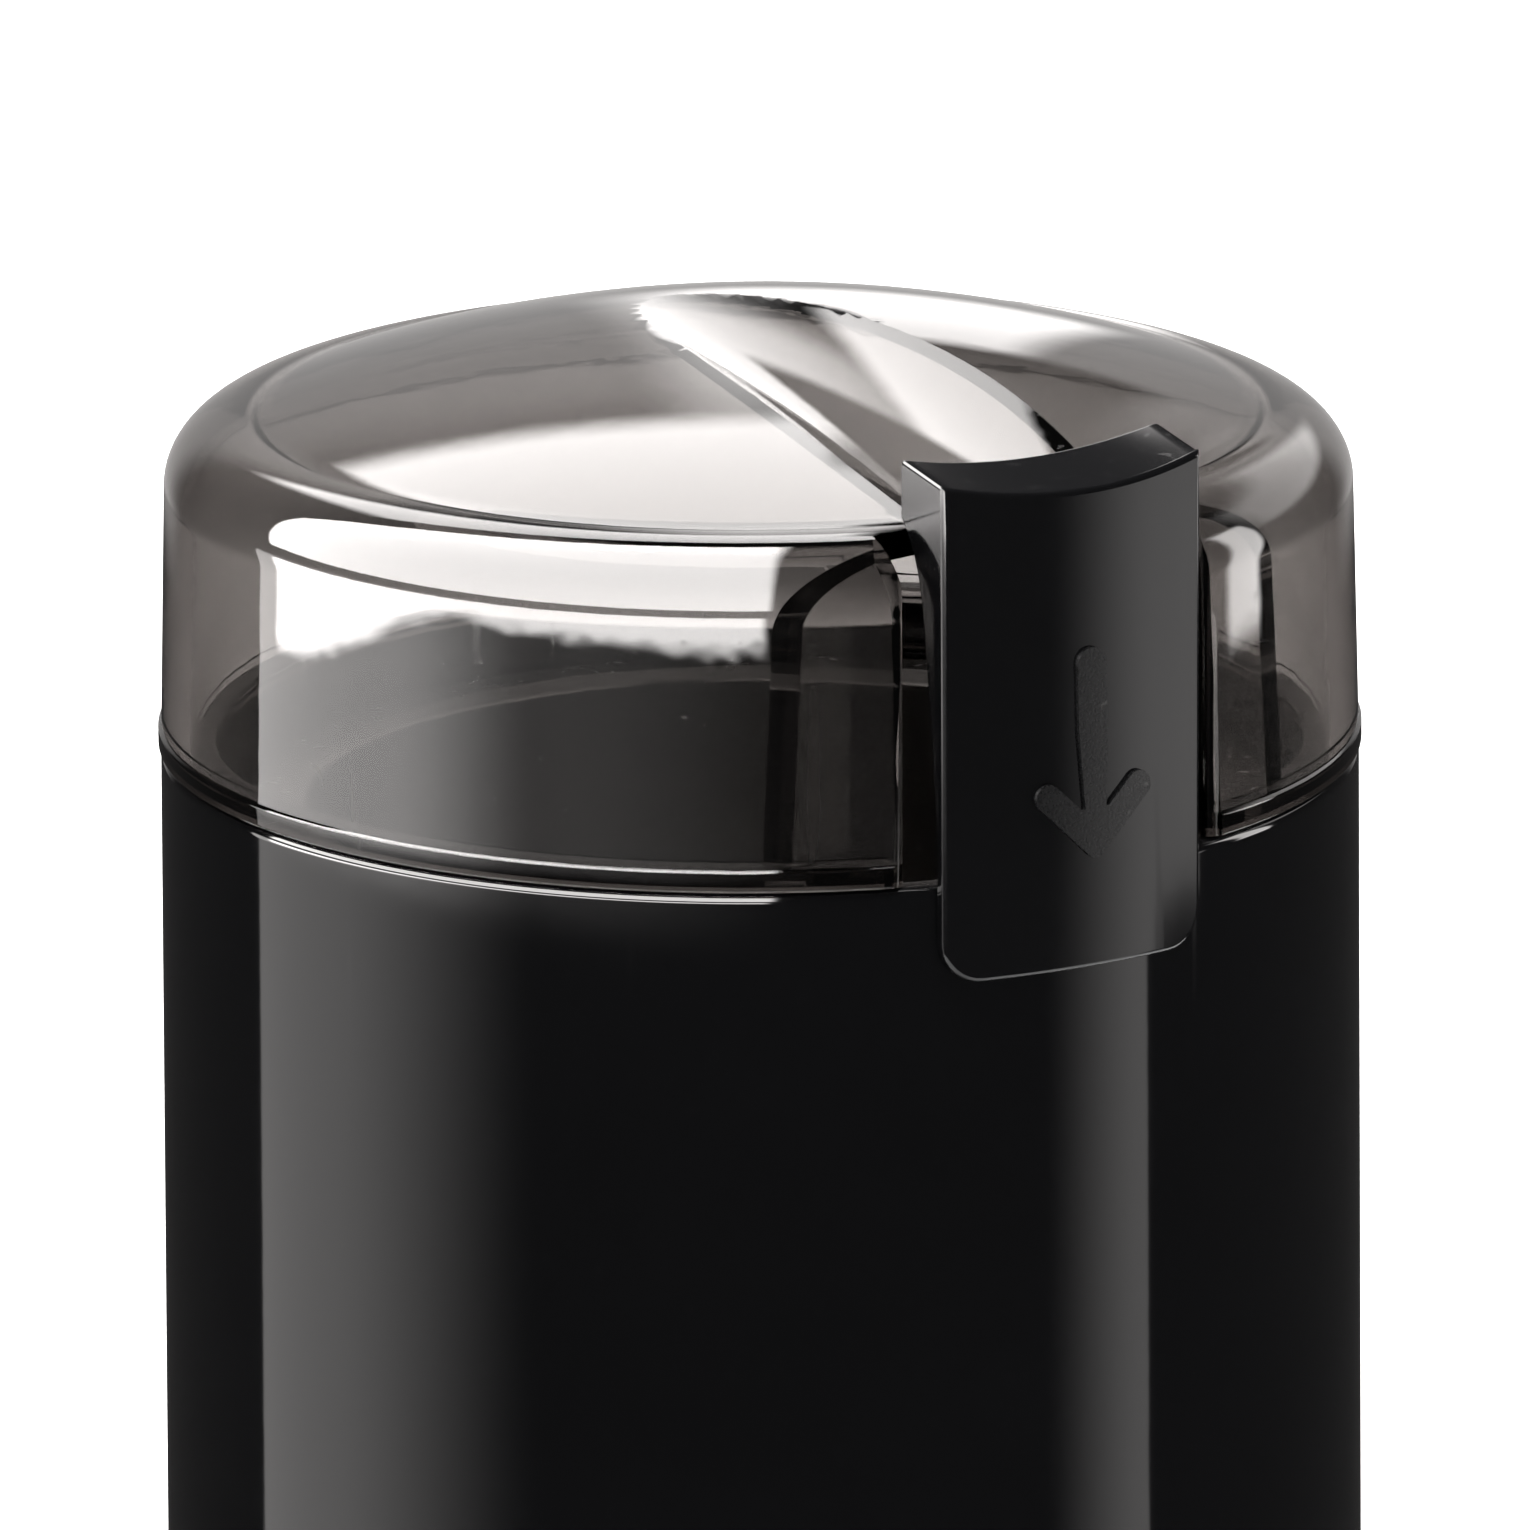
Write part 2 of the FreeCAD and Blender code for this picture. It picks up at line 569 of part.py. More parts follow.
def switch_plunger():
    """Round plunger that the button's foot pushes into the switch."""
    return fuse(rod(1.6, (81.0, FOOT_Z), PLUNGER_X, -36.0), rod(1.85, (81.0, 82.5), PLUNGER_X, -36.0))


def lid_switch():
    """Second switch, in series, that the interlock pin closes when the lid is on."""
    case = box((-6.0, 6.0), (-41.4, -36.2), (96.0, 108.0))
    upright = [e for e in case.Edges if abs(e.tangentAt(0).z) > 0.9]
    case = case.makeFillet(0.6, upright)
    tabs = [box((x - 0.4, x + 0.4), (-40.2, -37.2), (91.5, 96.5)) for x in (-4.0, 4.0)]
    way = rod(PIN_R + 0.3, (101.0, 110.0), 0, -LOCK_R)
    return at_lock(fuse(case, *tabs).cut(way))


def interlock_pin():
    """Pin that the lid's lug holds down, with a collar for its spring."""
    pin = rod(PIN_R, (PIN_BOTTOM, PIN_TOP - 0.5), 0, -LOCK_R)
    tip = Part.makeCone(PIN_R, PIN_R - 0.5, 0.5, V(0, -LOCK_R, PIN_TOP - 0.5))
    collar = rod(2.3, (117.0, 118.0), 0, -LOCK_R)
    return at_lock(fuse(pin, tip, collar))


def interlock_spring():
    """Light spring that lifts the pin when the lid comes off."""
    spring = coil_spring(1.95, 0.5, (108.1, 116.9), 4)
    spring.translate(V(0, -LOCK_R, 0))
    return at_lock(spring)


def button_spring():
    """Return spring between the switch shelf and the button's foot."""
    spring = coil_spring(2.7, 0.7, (72.05, FOOT_Z - 0.05), 5)
    spring.translate(V(SPRING_X, SPRING_Y, 0))
    return spring


def button_back():
    """Side outline of the button above the rim, with its hollowed back."""
    low, high = RIM_Z + 4.7, RIM_Z + BUTTON_TOP + 2
    knots = [(BUTTON_BACK_Y, 26.5), (-40.0, 25.2), (-41.4, 22.0), (-42.2, 17.4), (-43.0, 10.5),
             (-43.5, 6.4), (BACK_FOOT_Y, 4.7)]
    curve = Part.BSplineCurve()
    curve.interpolate([V(0, y, RIM_Z + z) for y, z in knots])
    corners = [V(0, BACK_FOOT_Y, low), V(0, -48, low), V(0, -48, high), V(0, BUTTON_BACK_Y, high),
               V(0, BUTTON_BACK_Y, RIM_Z + 26.5)]
    return Part.Face(Part.Wire([curve.toShape()] + Part.makePolygon(corners).Edges))


def push_button():
    """Tall tab with a thin skirt outside the housing and a leg inside it."""
    bottom = RIM_Z + BUTTON_BOTTOM
    width = (-BUTTON_HALF, BUTTON_HALF)
    tab = button_back().extrude(V(2 * BUTTON_HALF, 0, 0))
    tab.translate(V(-BUTTON_HALF, 0, 0))
    tab = tab.common(rod(BUTTON_R, (120, 180)))
    skirt = tube(BUTTON_R, PLATE_INNER_R, (bottom, RIM_Z + 5)).common(
        box(width, (-50, -30), (bottom, RIM_Z + 5)))
    shell = fuse(tab, skirt)
    slope = math.atan2(BUTTON_TOP - BUTTON_FRONT_TOP, BUTTON_R + BUTTON_BACK_Y)
    sag = DISH_R - math.sqrt(DISH_R ** 2 - BUTTON_HALF ** 2)
    dish = Part.makeCylinder(DISH_R, 30, V(0, -15, 0), V(0, 1, 0))
    dish.rotate(V(0, 0, 0), V(1, 0, 0), math.degrees(slope))
    dish.translate(V(0, BUTTON_BACK_Y, RIM_Z + BUTTON_TOP - sag + DISH_R))
    shell = shell.cut(dish)
    for side in (-1, 1):
        shell = shell.cut(corner_cut(side, bottom, 3.0))
    front = BUTTON_R * 0.96
    rounded = [e for e in shell.Edges if outer_edge(e, front, bottom)]
    shell = shell.makeFillet(0.7, rounded)
    bridge = box((-LEG_HALF, LEG_HALF), (-45.6, LEG_Y[1]), (134.2, 138.0))
    leg = box((-LEG_HALF, LEG_HALF), LEG_Y, (FOOT_Z, 138.0))
    foot = box((-9.0, 12.5), (-40.3, -33.5), (FOOT_Z, FOOT_Z + FOOT_T))
    peg = rod(1.9, (FOOT_Z - 3.5, FOOT_Z + 0.5), SPRING_X, SPRING_Y)
    gussets = [gusset(x) for x in (-4.6, 3.4)]
    return fuse(shell, bridge, leg, foot, peg, *gussets)


def corner_cut(side, bottom, radius):
    """What a rounded lower corner of the button takes away."""
    x = side * BUTTON_HALF
    block = box((min(x, x - side * radius), max(x, x - side * radius)), (-50, -40),
                (bottom, bottom + radius))
    arc_centre = V(x - side * radius, -51, bottom + radius)
    return block.cut(Part.makeCylinder(radius, 12, arc_centre, V(0, 1, 0)))


def outer_edge(edge, front, bottom):
    """Whether an edge bounds the button's front face and so is rounded."""
    on_front = all(abs(math.hypot(v.X, v.Y) - BUTTON_R) < 0.02 for v in edge.Vertexes)
    middle = edge.valueAt((edge.FirstParameter + edge.LastParameter) / 2)
    seam = abs(middle.x) < BUTTON_HALF - 3.2 and bottom + 0.1 < middle.z < RIM_Z + 25
    return on_front and abs(math.hypot(middle.x, middle.y)) > front and not seam


def gusset(x):
    """Triangular rib between the button's leg and its foot."""
    z = FOOT_Z + FOOT_T - 0.2
    corners = [V(x, LEG_Y[1] - 0.2, z), V(x, -34.0, z), V(x, LEG_Y[1] - 0.2, z + 8)]
    return Part.Face(Part.makePolygon(corners + corners[:1])).extrude(V(1.2, 0, 0))


def lid_form(inset):
    """Form of the lid above the rim: its outside, or its inside with an inset."""
    wall_z = LID_WALL_TOP - 0.4 * inset
    shoulder = RIM_R - LID_WALL_INSET - inset
    ring = RIM_R - RING_INSET - 0.6 * inset
    ring_z = RING_Z - inset
    dome_z = DOME_Z - inset
    rise = dome_z - ring_z
    dome_r = (ring ** 2 + rise ** 2) / (2 * rise)
    half_z = dome_z - dome_r + math.sqrt(dome_r ** 2 - ring ** 2 / 4)
    edges = path([(0, 0), (RIM_R - inset, 0), (shoulder, wall_z)])
    turn = bend((ring, wall_z), (shoulder - ring, ring_z - wall_z), 0, 90, 2 + 2 * (inset > 0))
    edges += path(turn) if inset > 0 else [arc(*turn)]
    edges.append(arc((ring, ring_z), (ring / 2, half_z), (0, dome_z)))
    edges.append(line((0, dome_z), (0, 0)))
    form = revolve(edges)
    form.translate(V(0, 0, RIM_Z + SEAT))
    return form.cut(trough(TROUGH_R + inset))


def trough(radius):
    """Finger trough: a tube bent along a gentle arc that dips towards the button."""
    (y1, z1), (y2, z2), (y3, z3) = TROUGH_ENDS
    floor = Part.Circle(V(0, y1, z1), V(0, y2, z2), V(0, y3, z3))
    centre = V(0, floor.Center.y, floor.Center.z + RIM_Z)
    return Part.makeTorus(floor.Radius + TROUGH_R, radius, centre, V(1, 0, 0))


def lid():
    """Clear smoky hood: wall, shoulder and dome, with a slot, a screen and a spigot."""
    low = RIM_Z + SEAT
    outer = lid_form(0.0)
    hood = outer.cut(lid_form(WALL))
    bead = tube(RIM_R + BEAD, RIM_R - WALL / 2, (low, low + BEAD_H))
    spigot_out = RIM_R - WALL - SPIGOT_GAP
    spigot_in = spigot_out - SPIGOT_T
    spigot = tube(spigot_out, spigot_in, (low - SPIGOT_H, low + 0.5))
    step = tube(RIM_R - WALL / 2, spigot_in, (low, low + 1.4))
    screen_y = (SCREEN_Y, SCREEN_Y + SCREEN_T)
    screen = box((-40, 40), screen_y, (low, low + 40)).common(outer)
    skirt = box((-40, 40), screen_y, (low - 2.8, low + 1)).common(
        rod(spigot_out - 0.2, (low - 5, low + 5)))
    lug = turned(box((-LUG_HALF, LUG_HALF), (-1.1, 1.0), (LUG_BOTTOM, low + 1)), -LOCK_ANGLE)
    lug.translate(V(*polar(LOCK_R, 270 - LOCK_ANGLE), 0))
    hood = fuse(hood, bead, step, spigot, screen, skirt, lug)
    slot = box((-SLOT_HALF, SLOT_HALF), (-60, SCREEN_Y), (low - 10, low + 50))
    return hood.cut(slot)


NODES = {
    "motor_housing": motor_housing,
    "base_plate": base_plate,
    "base_screws": base_screws,
    "rubber_feet": rubber_feet,
    "cord_gland": cord_gland,
    "grinding_bowl": grinding_bowl,
    "bowl_gasket": bowl_gasket,
    "shaft_seal": shaft_seal,
    "blade": blade,
    "blade_nut": blade_nut,
    "motor_shaft": motor_shaft,
    "rotor_core": rotor_core,
    "rotor_windings": rotor_windings,
    "commutator": commutator,
    "cooling_fan": cooling_fan,
    "thrust_washers": thrust_washers,
    "stator_core": stator_core,
    "field_coils": field_coils,
    "upper_bracket": upper_bracket,
    "lower_bracket": lower_bracket,
    "bracket_screws": bracket_screws,
    "motor_screws": motor_screws,
    "upper_bush": lambda: bush(UPPER_BUSH_Z),
    "lower_bush": lambda: bush(LOWER_BUSH_Z),
    "brush_holders": brush_holders,
    "carbon_brushes": carbon_brushes,
    "brush_springs": brush_springs,
    "motor_cushion": motor_cushion,
    "switch_body": switch_body,
    "switch_plunger": switch_plunger,
    "lid_switch": lid_switch,
    "interlock_pin": interlock_pin,
    "interlock_spring": interlock_spring,
    "push_button": push_button,
    "button_spring": button_spring,
    "lid": lid,
}

os.makedirs("parts", exist_ok=True)
for name, make in NODES.items():
    shape = make()
    print(f"{name}: {len(shape.Solids)} solids, {shape.Volume:.1f} mm3, valid {shape.isValid()}")
    shape.exportStep(f"parts/{name}.step")
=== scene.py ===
import math

import bmesh
import bpy
from mathutils import Matrix, Vector


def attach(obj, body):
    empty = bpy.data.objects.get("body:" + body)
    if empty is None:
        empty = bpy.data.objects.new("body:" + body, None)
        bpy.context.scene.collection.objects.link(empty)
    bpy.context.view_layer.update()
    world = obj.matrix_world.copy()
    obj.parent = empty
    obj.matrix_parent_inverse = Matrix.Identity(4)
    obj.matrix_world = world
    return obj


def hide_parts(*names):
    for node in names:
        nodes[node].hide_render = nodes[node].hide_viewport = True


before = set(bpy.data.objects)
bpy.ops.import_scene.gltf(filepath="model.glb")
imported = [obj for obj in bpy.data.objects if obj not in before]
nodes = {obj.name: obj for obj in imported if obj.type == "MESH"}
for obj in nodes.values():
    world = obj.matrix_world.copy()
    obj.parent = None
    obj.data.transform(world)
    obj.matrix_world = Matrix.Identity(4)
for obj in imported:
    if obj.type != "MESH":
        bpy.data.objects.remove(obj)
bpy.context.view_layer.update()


# Rubber feet: four soft pads with a rounded edge and a shallow round recess in the sole, moulded
# in black rubber and pressed into pockets under the base plate.
def soften(corners, bands=5):
    """Closed outline whose corners, given as (across, up, radius), turn in short arcs."""
    points = []
    for before, (x, z, radius), after in zip(corners[-1:] + corners[:-1], corners,
                                             corners[1:] + corners[:1]):
        here = Vector((x, z))
        if radius == 0:
            points.append((x, z))
            continue
        back = (Vector(before[:2]) - here).normalized()
        on = (Vector(after[:2]) - here).normalized()
        half = back.angle(on) / 2
        centre = here + (back + on).normalized() * radius / math.sin(half)
        start = (here + back * radius / math.tan(half) - centre).normalized()
        end = (here + on * radius / math.tan(half) - centre).normalized()
        points += [tuple(centre + start.slerp(end, k / bands) * radius) for k in range(bands + 1)]
    return points


def turned(outline, steps=192, axis_at=(0.0, 0.0)):
    """Mesh made by turning an outline of (radius, height) millimetres about an upright axis."""
    x, y = axis_at[0] / 1000, axis_at[1] / 1000
    bm = bmesh.new()
    rim = [bm.verts.new((x + r / 1000, y, z / 1000)) for r, z in outline]
    chain = [bm.edges.new((rim[k], rim[k + 1])) for k in range(len(rim) - 1)
             if outline[k][0] + outline[k + 1][0] > 0]
    if outline[0][0] > 0 or outline[-1][0] > 0:
        chain.append(bm.edges.new((rim[-1], rim[0])))
    bmesh.ops.spin(bm, geom=rim + chain, cent=(x, y, 0), axis=(0, 0, 1), angle=math.tau,
                   steps=steps, use_merge=True)
    bmesh.ops.remove_doubles(bm, verts=bm.verts, dist=1e-7)
    bmesh.ops.recalc_face_normals(bm, faces=bm.faces)
    return bm


def add_to(bm, other):
    """Bring a second mesh into the first as a further closed shell."""
    spare = bpy.data.meshes.new("spare")
    other.to_mesh(spare)
    other.free()
    bm.from_mesh(spare)
    bpy.data.meshes.remove(spare)
    return bm


def settle(bm, name, finish, body, crease=32):
    """Give a finished mesh its piece, its material, its shading and the body it rides on."""
    mesh = bpy.data.meshes.new(name)
    bm.to_mesh(mesh)
    bm.free()
    mesh.shade_smooth()
    mesh.set_sharp_from_angle(angle=math.radians(crease))
    mesh.materials.append(finish)
    piece = bpy.data.objects.new(name, mesh)
    bpy.context.scene.collection.objects.link(piece)
    even = piece.modifiers.new("even_shading", "WEIGHTED_NORMAL")
    even.keep_sharp = True
    even.weight = 80
    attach(piece, body)
    return piece


def put(tree, kind, inputs=None, **settings):
    """Place a shader node whose inputs are given as values or as the sockets that feed them."""
    node = tree.nodes.new("ShaderNode" + kind)
    for key, value in settings.items():
        setattr(node, key, value)
    for key, value in (inputs or {}).items():
        if isinstance(value, bpy.types.NodeSocket):
            tree.links.new(value, node.inputs[key])
        else:
            node.inputs[key].default_value = value
    return node


def new_group(name, inputs, outputs):
    """Empty shader node group with named sockets, and its two end nodes."""
    tree = bpy.data.node_groups.new(name, "ShaderNodeTree")
    for label, kind, value in inputs:
        socket = tree.interface.new_socket(label, in_out="INPUT", socket_type="NodeSocket" + kind)
        if value is not None:
            socket.default_value = value
    for label in outputs:
        tree.interface.new_socket(label, in_out="OUTPUT", socket_type="NodeSocketFloat")
    return tree, tree.nodes.new("NodeGroupInput"), tree.nodes.new("NodeGroupOutput")


def make_handling_marks():
    """Group for uneven gloss, dust specks and hair-fine scratches from use."""
    tree, start, end = new_group("handling_marks",
                                 [("Vector", "Vector", None), ("Speck Scale", "Float", 900.0)],
                                 ["Mottle", "Specks", "Scratches"])
    cloud = put(tree, "TexNoise", {"Vector": start.outputs["Vector"], "Scale": 45.0,
                                   "Detail": 4.0, "Roughness": 0.6})
    fine = put(tree, "TexNoise", {"Vector": start.outputs["Vector"], "Detail": 1.0,
                                  "Scale": start.outputs["Speck Scale"]})
    specks = put(tree, "MapRange", {"Value": fine.outputs["Fac"], "From Min": 0.70,
                                    "From Max": 0.78})
    bend = put(tree, "TexNoise", {"Vector": start.outputs["Vector"], "Scale": 30.0})
    swept = put(tree, "VectorMath", {0: start.outputs["Vector"], 1: (900.0, 900.0, 40.0)},
                operation="MULTIPLY")
    leaning = put(tree, "VectorMath", {0: swept.outputs[0], 1: bend.outputs["Color"]},
                  operation="ADD")
    lines = put(tree, "TexNoise", {"Vector": leaning.outputs[0], "Scale": 1.0, "Detail": 0.0})
    thin = put(tree, "MapRange", {"Value": lines.outputs["Fac"], "From Min": 0.74,
                                  "From Max": 0.80})
    tree.links.new(cloud.outputs["Fac"], end.inputs["Mottle"])
    tree.links.new(specks.outputs["Result"], end.inputs["Specks"])
    tree.links.new(thin.outputs["Result"], end.inputs["Scratches"])
    return tree


handling_marks = make_handling_marks()


def make_moulded_grain():
    """Group for the fine pebbled texture that a spark-eroded mould leaves on plastic or rubber."""
    tree, start, end = new_group("moulded_grain",
                                 [("Vector", "Vector", None), ("Scale", "Float", 2200.0)],
                                 ["Height", "Hollows"])
    pebbles = put(tree, "TexVoronoi", {"Vector": start.outputs["Vector"],
                                       "Scale": start.outputs["Scale"]}, feature="SMOOTH_F1")
    grit = put(tree, "TexNoise", {"Vector": start.outputs["Vector"], "Detail": 3.0,
                                  "Scale": start.outputs["Scale"]})
    both = put(tree, "Math", {0: pebbles.outputs["Distance"], 1: grit.outputs["Fac"]},
               operation="ADD")
    deep = put(tree, "MapRange", {"Value": both.outputs[0], "From Min": 0.6, "From Max": 1.2})
    tree.links.new(both.outputs[0], end.inputs["Height"])
    tree.links.new(deep.outputs["Result"], end.inputs["Hollows"])
    return tree


moulded_grain = make_moulded_grain()


def blended(tree, share, first, second):
    """Colour between two others."""
    mix = put(tree, "Mix", {0: share, 6: first, 7: second}, data_type="RGBA")
    return mix.outputs[2]


def spread(tree, value, low, high):
    """Stretch a 0 to 1 pattern to a range."""
    return put(tree, "MapRange", {"Value": value, "To Min": low, "To Max": high}).outputs["Result"]


def new_finish(name):
    """Material with an empty node tree, its shader and its object coordinates."""
    finish = bpy.data.materials.new(name)
    finish.use_nodes = True
    tree = finish.node_tree
    shader = tree.nodes["Principled BSDF"]
    place = tree.nodes.new("ShaderNodeTexCoord").outputs["Object"]
    return finish, tree, shader, place


def moulded(name, colour, roughness, grain, depth):
    """Moulded plastic or rubber: pebbled skin, slightly uneven colour and duller hollows."""
    finish, tree, shader, place = new_finish(name)
    skin = put(tree, "Group", node_tree=moulded_grain)
    tree.links.new(place, skin.inputs["Vector"])
    skin.inputs["Scale"].default_value = grain
    marks = put(tree, "Group", node_tree=handling_marks)
    tree.links.new(place, marks.inputs["Vector"])
    pale = tuple(min(1.0, c * 1.35 + 0.004) for c in colour)
    shade = blended(tree, marks.outputs["Mottle"], (*colour, 1), (*pale, 1))
    dusty = blended(tree, spread(tree, marks.outputs["Specks"], 0.0, 0.25), shade,
                    (0.35, 0.34, 0.32, 1))
    tree.links.new(dusty, shader.inputs["Base Color"])
    gloss = spread(tree, skin.outputs["Hollows"], roughness, roughness + 0.08)
    tree.links.new(gloss, shader.inputs["Roughness"])
    bump = put(tree, "Bump", {"Height": skin.outputs["Height"], "Distance": depth})
    tree.links.new(bump.outputs["Normal"], shader.inputs["Normal"])
    return finish


black_rubber = moulded("black_rubber", (0.012, 0.012, 0.012), 0.62, 1500.0, 0.00003)

foot_outline = [(0, 0.25), (2.2, 0.25), (2.35, 0), (4.1, 0), (4.45, 0.1), (4.75, 0.3), (4.92, 0.6),
                (5.0, 1.0), (5.0, 2.9), (4.9, 3.0), (0, 3.0)]
foot_circle = 36
foot_places = [(foot_circle * math.cos(math.radians(a)), foot_circle * math.sin(math.radians(a)))
               for a in (45, 135, 225, 315)]
feet = turned(foot_outline, 64, foot_places[0])
for foot_place in foot_places[1:]:
    add_to(feet, turned(foot_outline, 64, foot_place))
feet = settle(feet, "feet", black_rubber, "motor_body")
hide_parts("rubber_feet")


# Base plate: the moulded bottom cover with its vent slots, foot pockets and the socket that
# carries the motor's tail. Its solid is right as it stands; it gets a coarse pebbled plastic.
black_base = moulded("black_base", (0.014, 0.014, 0.015), 0.48, 1700.0, 0.00003)


def dress(node, finish):
    """Give a solid of the frame its material."""
    part = nodes[node]
    part.data.materials.clear()
    part.data.materials.append(finish)


dress("base_plate", black_base)


# Base screws and the other small screws: zinc-plated steel with a cross recess, rolled and
# plated in a barrel, so the bright coat is faintly blotched.
def make_drawn_lines():
    """Group for the fine rings that turning, drawing or polishing leaves round an upright axis."""
    tree, start, end = new_group("drawn_lines",
                                 [("Vector", "Vector", None), ("Fineness", "Float", 9000.0)],
                                 ["Lines", "Blotches"])
    apart = put(tree, "SeparateXYZ", {"Vector": start.outputs["Vector"]})
    flat = put(tree, "CombineXYZ", {"X": apart.outputs["X"], "Y": apart.outputs["Y"]})
    away = put(tree, "VectorMath", {0: flat.outputs[0]}, operation="LENGTH")
    rings = put(tree, "CombineXYZ", {"X": away.outputs["Value"], "Y": apart.outputs["Z"]})
    fine = put(tree, "TexNoise", {"Vector": rings.outputs[0], "Detail": 4.0, "Roughness": 0.7,
                                  "Scale": start.outputs["Fineness"]})
    cloud = put(tree, "TexNoise", {"Vector": start.outputs["Vector"], "Scale": 160.0,
                                   "Detail": 5.0, "Roughness": 0.6})
    tree.links.new(fine.outputs["Fac"], end.inputs["Lines"])
    tree.links.new(cloud.outputs["Fac"], end.inputs["Blotches"])
    return tree


drawn_lines = make_drawn_lines()


def metal(name, colour, dull, roughness, fineness=9000.0, depth=0.000004):
    """Bare or plated metal: drawn lines in the gloss, and a colour that drifts to a duller one."""
    finish, tree, shader, place = new_finish(name)
    shader.inputs["Metallic"].default_value = 1.0
    lines = put(tree, "Group", node_tree=drawn_lines)
    tree.links.new(place, lines.inputs["Vector"])
    lines.inputs["Fineness"].default_value = fineness
    marks = put(tree, "Group", node_tree=handling_marks)
    tree.links.new(place, marks.inputs["Vector"])
    patch = spread(tree, lines.outputs["Blotches"], -0.6, 1.6)
    tint = blended(tree, put(tree, "Clamp", {"Value": patch}).outputs[0], (*colour, 1), (*dull, 1))
    tree.links.new(tint, shader.inputs["Base Color"])
    ringed = spread(tree, lines.outputs["Lines"], roughness * 0.6, roughness * 1.4)
    worn = put(tree, "Math", {0: spread(tree, marks.outputs["Scratches"], 0.0, 0.15), 1: ringed},
               operation="ADD")
    tree.links.new(worn.outputs[0], shader.inputs["Roughness"])
    bump = put(tree, "Bump", {"Height": lines.outputs["Lines"], "Distance": depth})
    tree.links.new(bump.outputs["Normal"], shader.inputs["Normal"])
    return finish


zinc_screws = metal("zinc_screws", (0.62, 0.62, 0.60), (0.42, 0.42, 0.43), 0.32)
for screw_node in ("base_screws", "bracket_screws", "motor_screws"):
    dress(screw_node, zinc_screws)


# Motor: a laminated field with two taped coils round the armature, its brushes and its fan,
# clamped by two long screws between a cast plate and a moulded bridge.
grey_rubber = moulded("grey_rubber", (0.16, 0.16, 0.16), 0.7, 1300.0, 0.00003)
bracket_plastic = moulded("bracket_plastic", (0.30, 0.27, 0.22), 0.45, 1800.0, 0.00001)
fan_plastic = moulded("fan_plastic", (0.03, 0.10, 0.16), 0.4, 1800.0, 0.00001)
fibre = moulded("fibre", (0.25, 0.10, 0.045), 0.8, 3000.0, 0.00002)
carbon = moulded("carbon", (0.02, 0.02, 0.022), 0.5, 4000.0, 0.00001)
copper_wire = metal("copper_wire", (0.78, 0.36, 0.20), (0.52, 0.19, 0.09), 0.34, 14000.0, 0.00002)
commutator_copper = metal("commutator_copper", (0.86, 0.44, 0.28), (0.60, 0.28, 0.17), 0.25)
lamination_steel = metal("lamination_steel", (0.34, 0.33, 0.32), (0.20, 0.19, 0.19), 0.45, 2000.0,
                         0.00004)
shaft_steel = metal("shaft_steel", (0.66, 0.65, 0.63), (0.52, 0.51, 0.50), 0.18)
bracket_aluminium = metal("bracket_aluminium", (0.74, 0.74, 0.74), (0.55, 0.55, 0.56), 0.42, 900.0,
                          0.00003)
bronze = metal("bronze", (0.62, 0.42, 0.22), (0.45, 0.29, 0.15), 0.45)
holder_brass = metal("holder_brass", (0.82, 0.62, 0.28), (0.62, 0.45, 0.20), 0.3)
spring_steel = metal("spring_steel", (0.56, 0.55, 0.54), (0.40, 0.39, 0.38), 0.28)

motor_finishes = {
    "lower_bracket": bracket_plastic, "cooling_fan": fan_plastic,
    "thrust_washers": fibre, "carbon_brushes": carbon, "field_coils": copper_wire,
    "rotor_windings": copper_wire, "commutator": commutator_copper, "stator_core": lamination_steel,
    "rotor_core": lamination_steel, "motor_shaft": shaft_steel, "upper_bracket": bracket_aluminium,
    "upper_bush": bronze, "lower_bush": bronze, "brush_holders": holder_brass,
    "brush_springs": spring_steel}
for motor_node, motor_finish in motor_finishes.items():
    dress(motor_node, motor_finish)

cushion_outline = soften([(4.0, 12.0, 0.3), (9.0, 12.0, 0.5), (9.0, 24.0, 0.4), (8.1, 24.0, 0.3),
                          (8.1, 20.0, 0.2), (4.0, 20.0, 0.5)], 4)
cushion = settle(turned(cushion_outline, 96), "cushion", grey_rubber, "motor_body")
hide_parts("motor_cushion")


# Switches, pin and springs: two small moulded switch blocks inside the front wall, the plunger
# and the interlock pin that work them, and two coil springs of drawn steel wire.
switch_plastic = moulded("switch_plastic", (0.02, 0.02, 0.022), 0.42, 1900.0, 0.00001)
plunger_plastic = moulded("plunger_plastic", (0.62, 0.60, 0.55), 0.4, 1900.0, 0.00001)
for switch_node in ("switch_body", "lid_switch"):
    dress(switch_node, switch_plastic)
for plunger_node in ("switch_plunger", "interlock_pin"):
    dress(plunger_node, plunger_plastic)
for spring_node in ("button_spring", "interlock_spring"):
    dress(spring_node, spring_steel)


# Motor housing: one gloss black injection moulding, drawn in slightly towards its rim, with a
# rounded lip, the deck that carries the bowl, and bosses, guides and ribs inside its wall.
def combined(base, tool, how):
    """Solid left when a closed form is joined to, cut from or met with another."""
    step = base.modifiers.new(how, "BOOLEAN")
    step.operation = how
    step.solver = "MANIFOLD"
    step.object = tool
    bpy.context.view_layer.update()
    seen = base.evaluated_get(bpy.context.evaluated_depsgraph_get())
    shape = bpy.data.meshes.new_from_object(seen)
    base.modifiers.clear()
    old = base.data
    base.data = shape
    bpy.data.meshes.remove(old)
    bpy.data.objects.remove(tool)
    return base


def form(bm):
    """Working object round a mesh that is still to be cut or joined."""
    mesh = bpy.data.meshes.new("form")
    bm.to_mesh(mesh)
    bm.free()
    made = bpy.data.objects.new("form", mesh)
    bpy.context.scene.collection.objects.link(made)
    return made


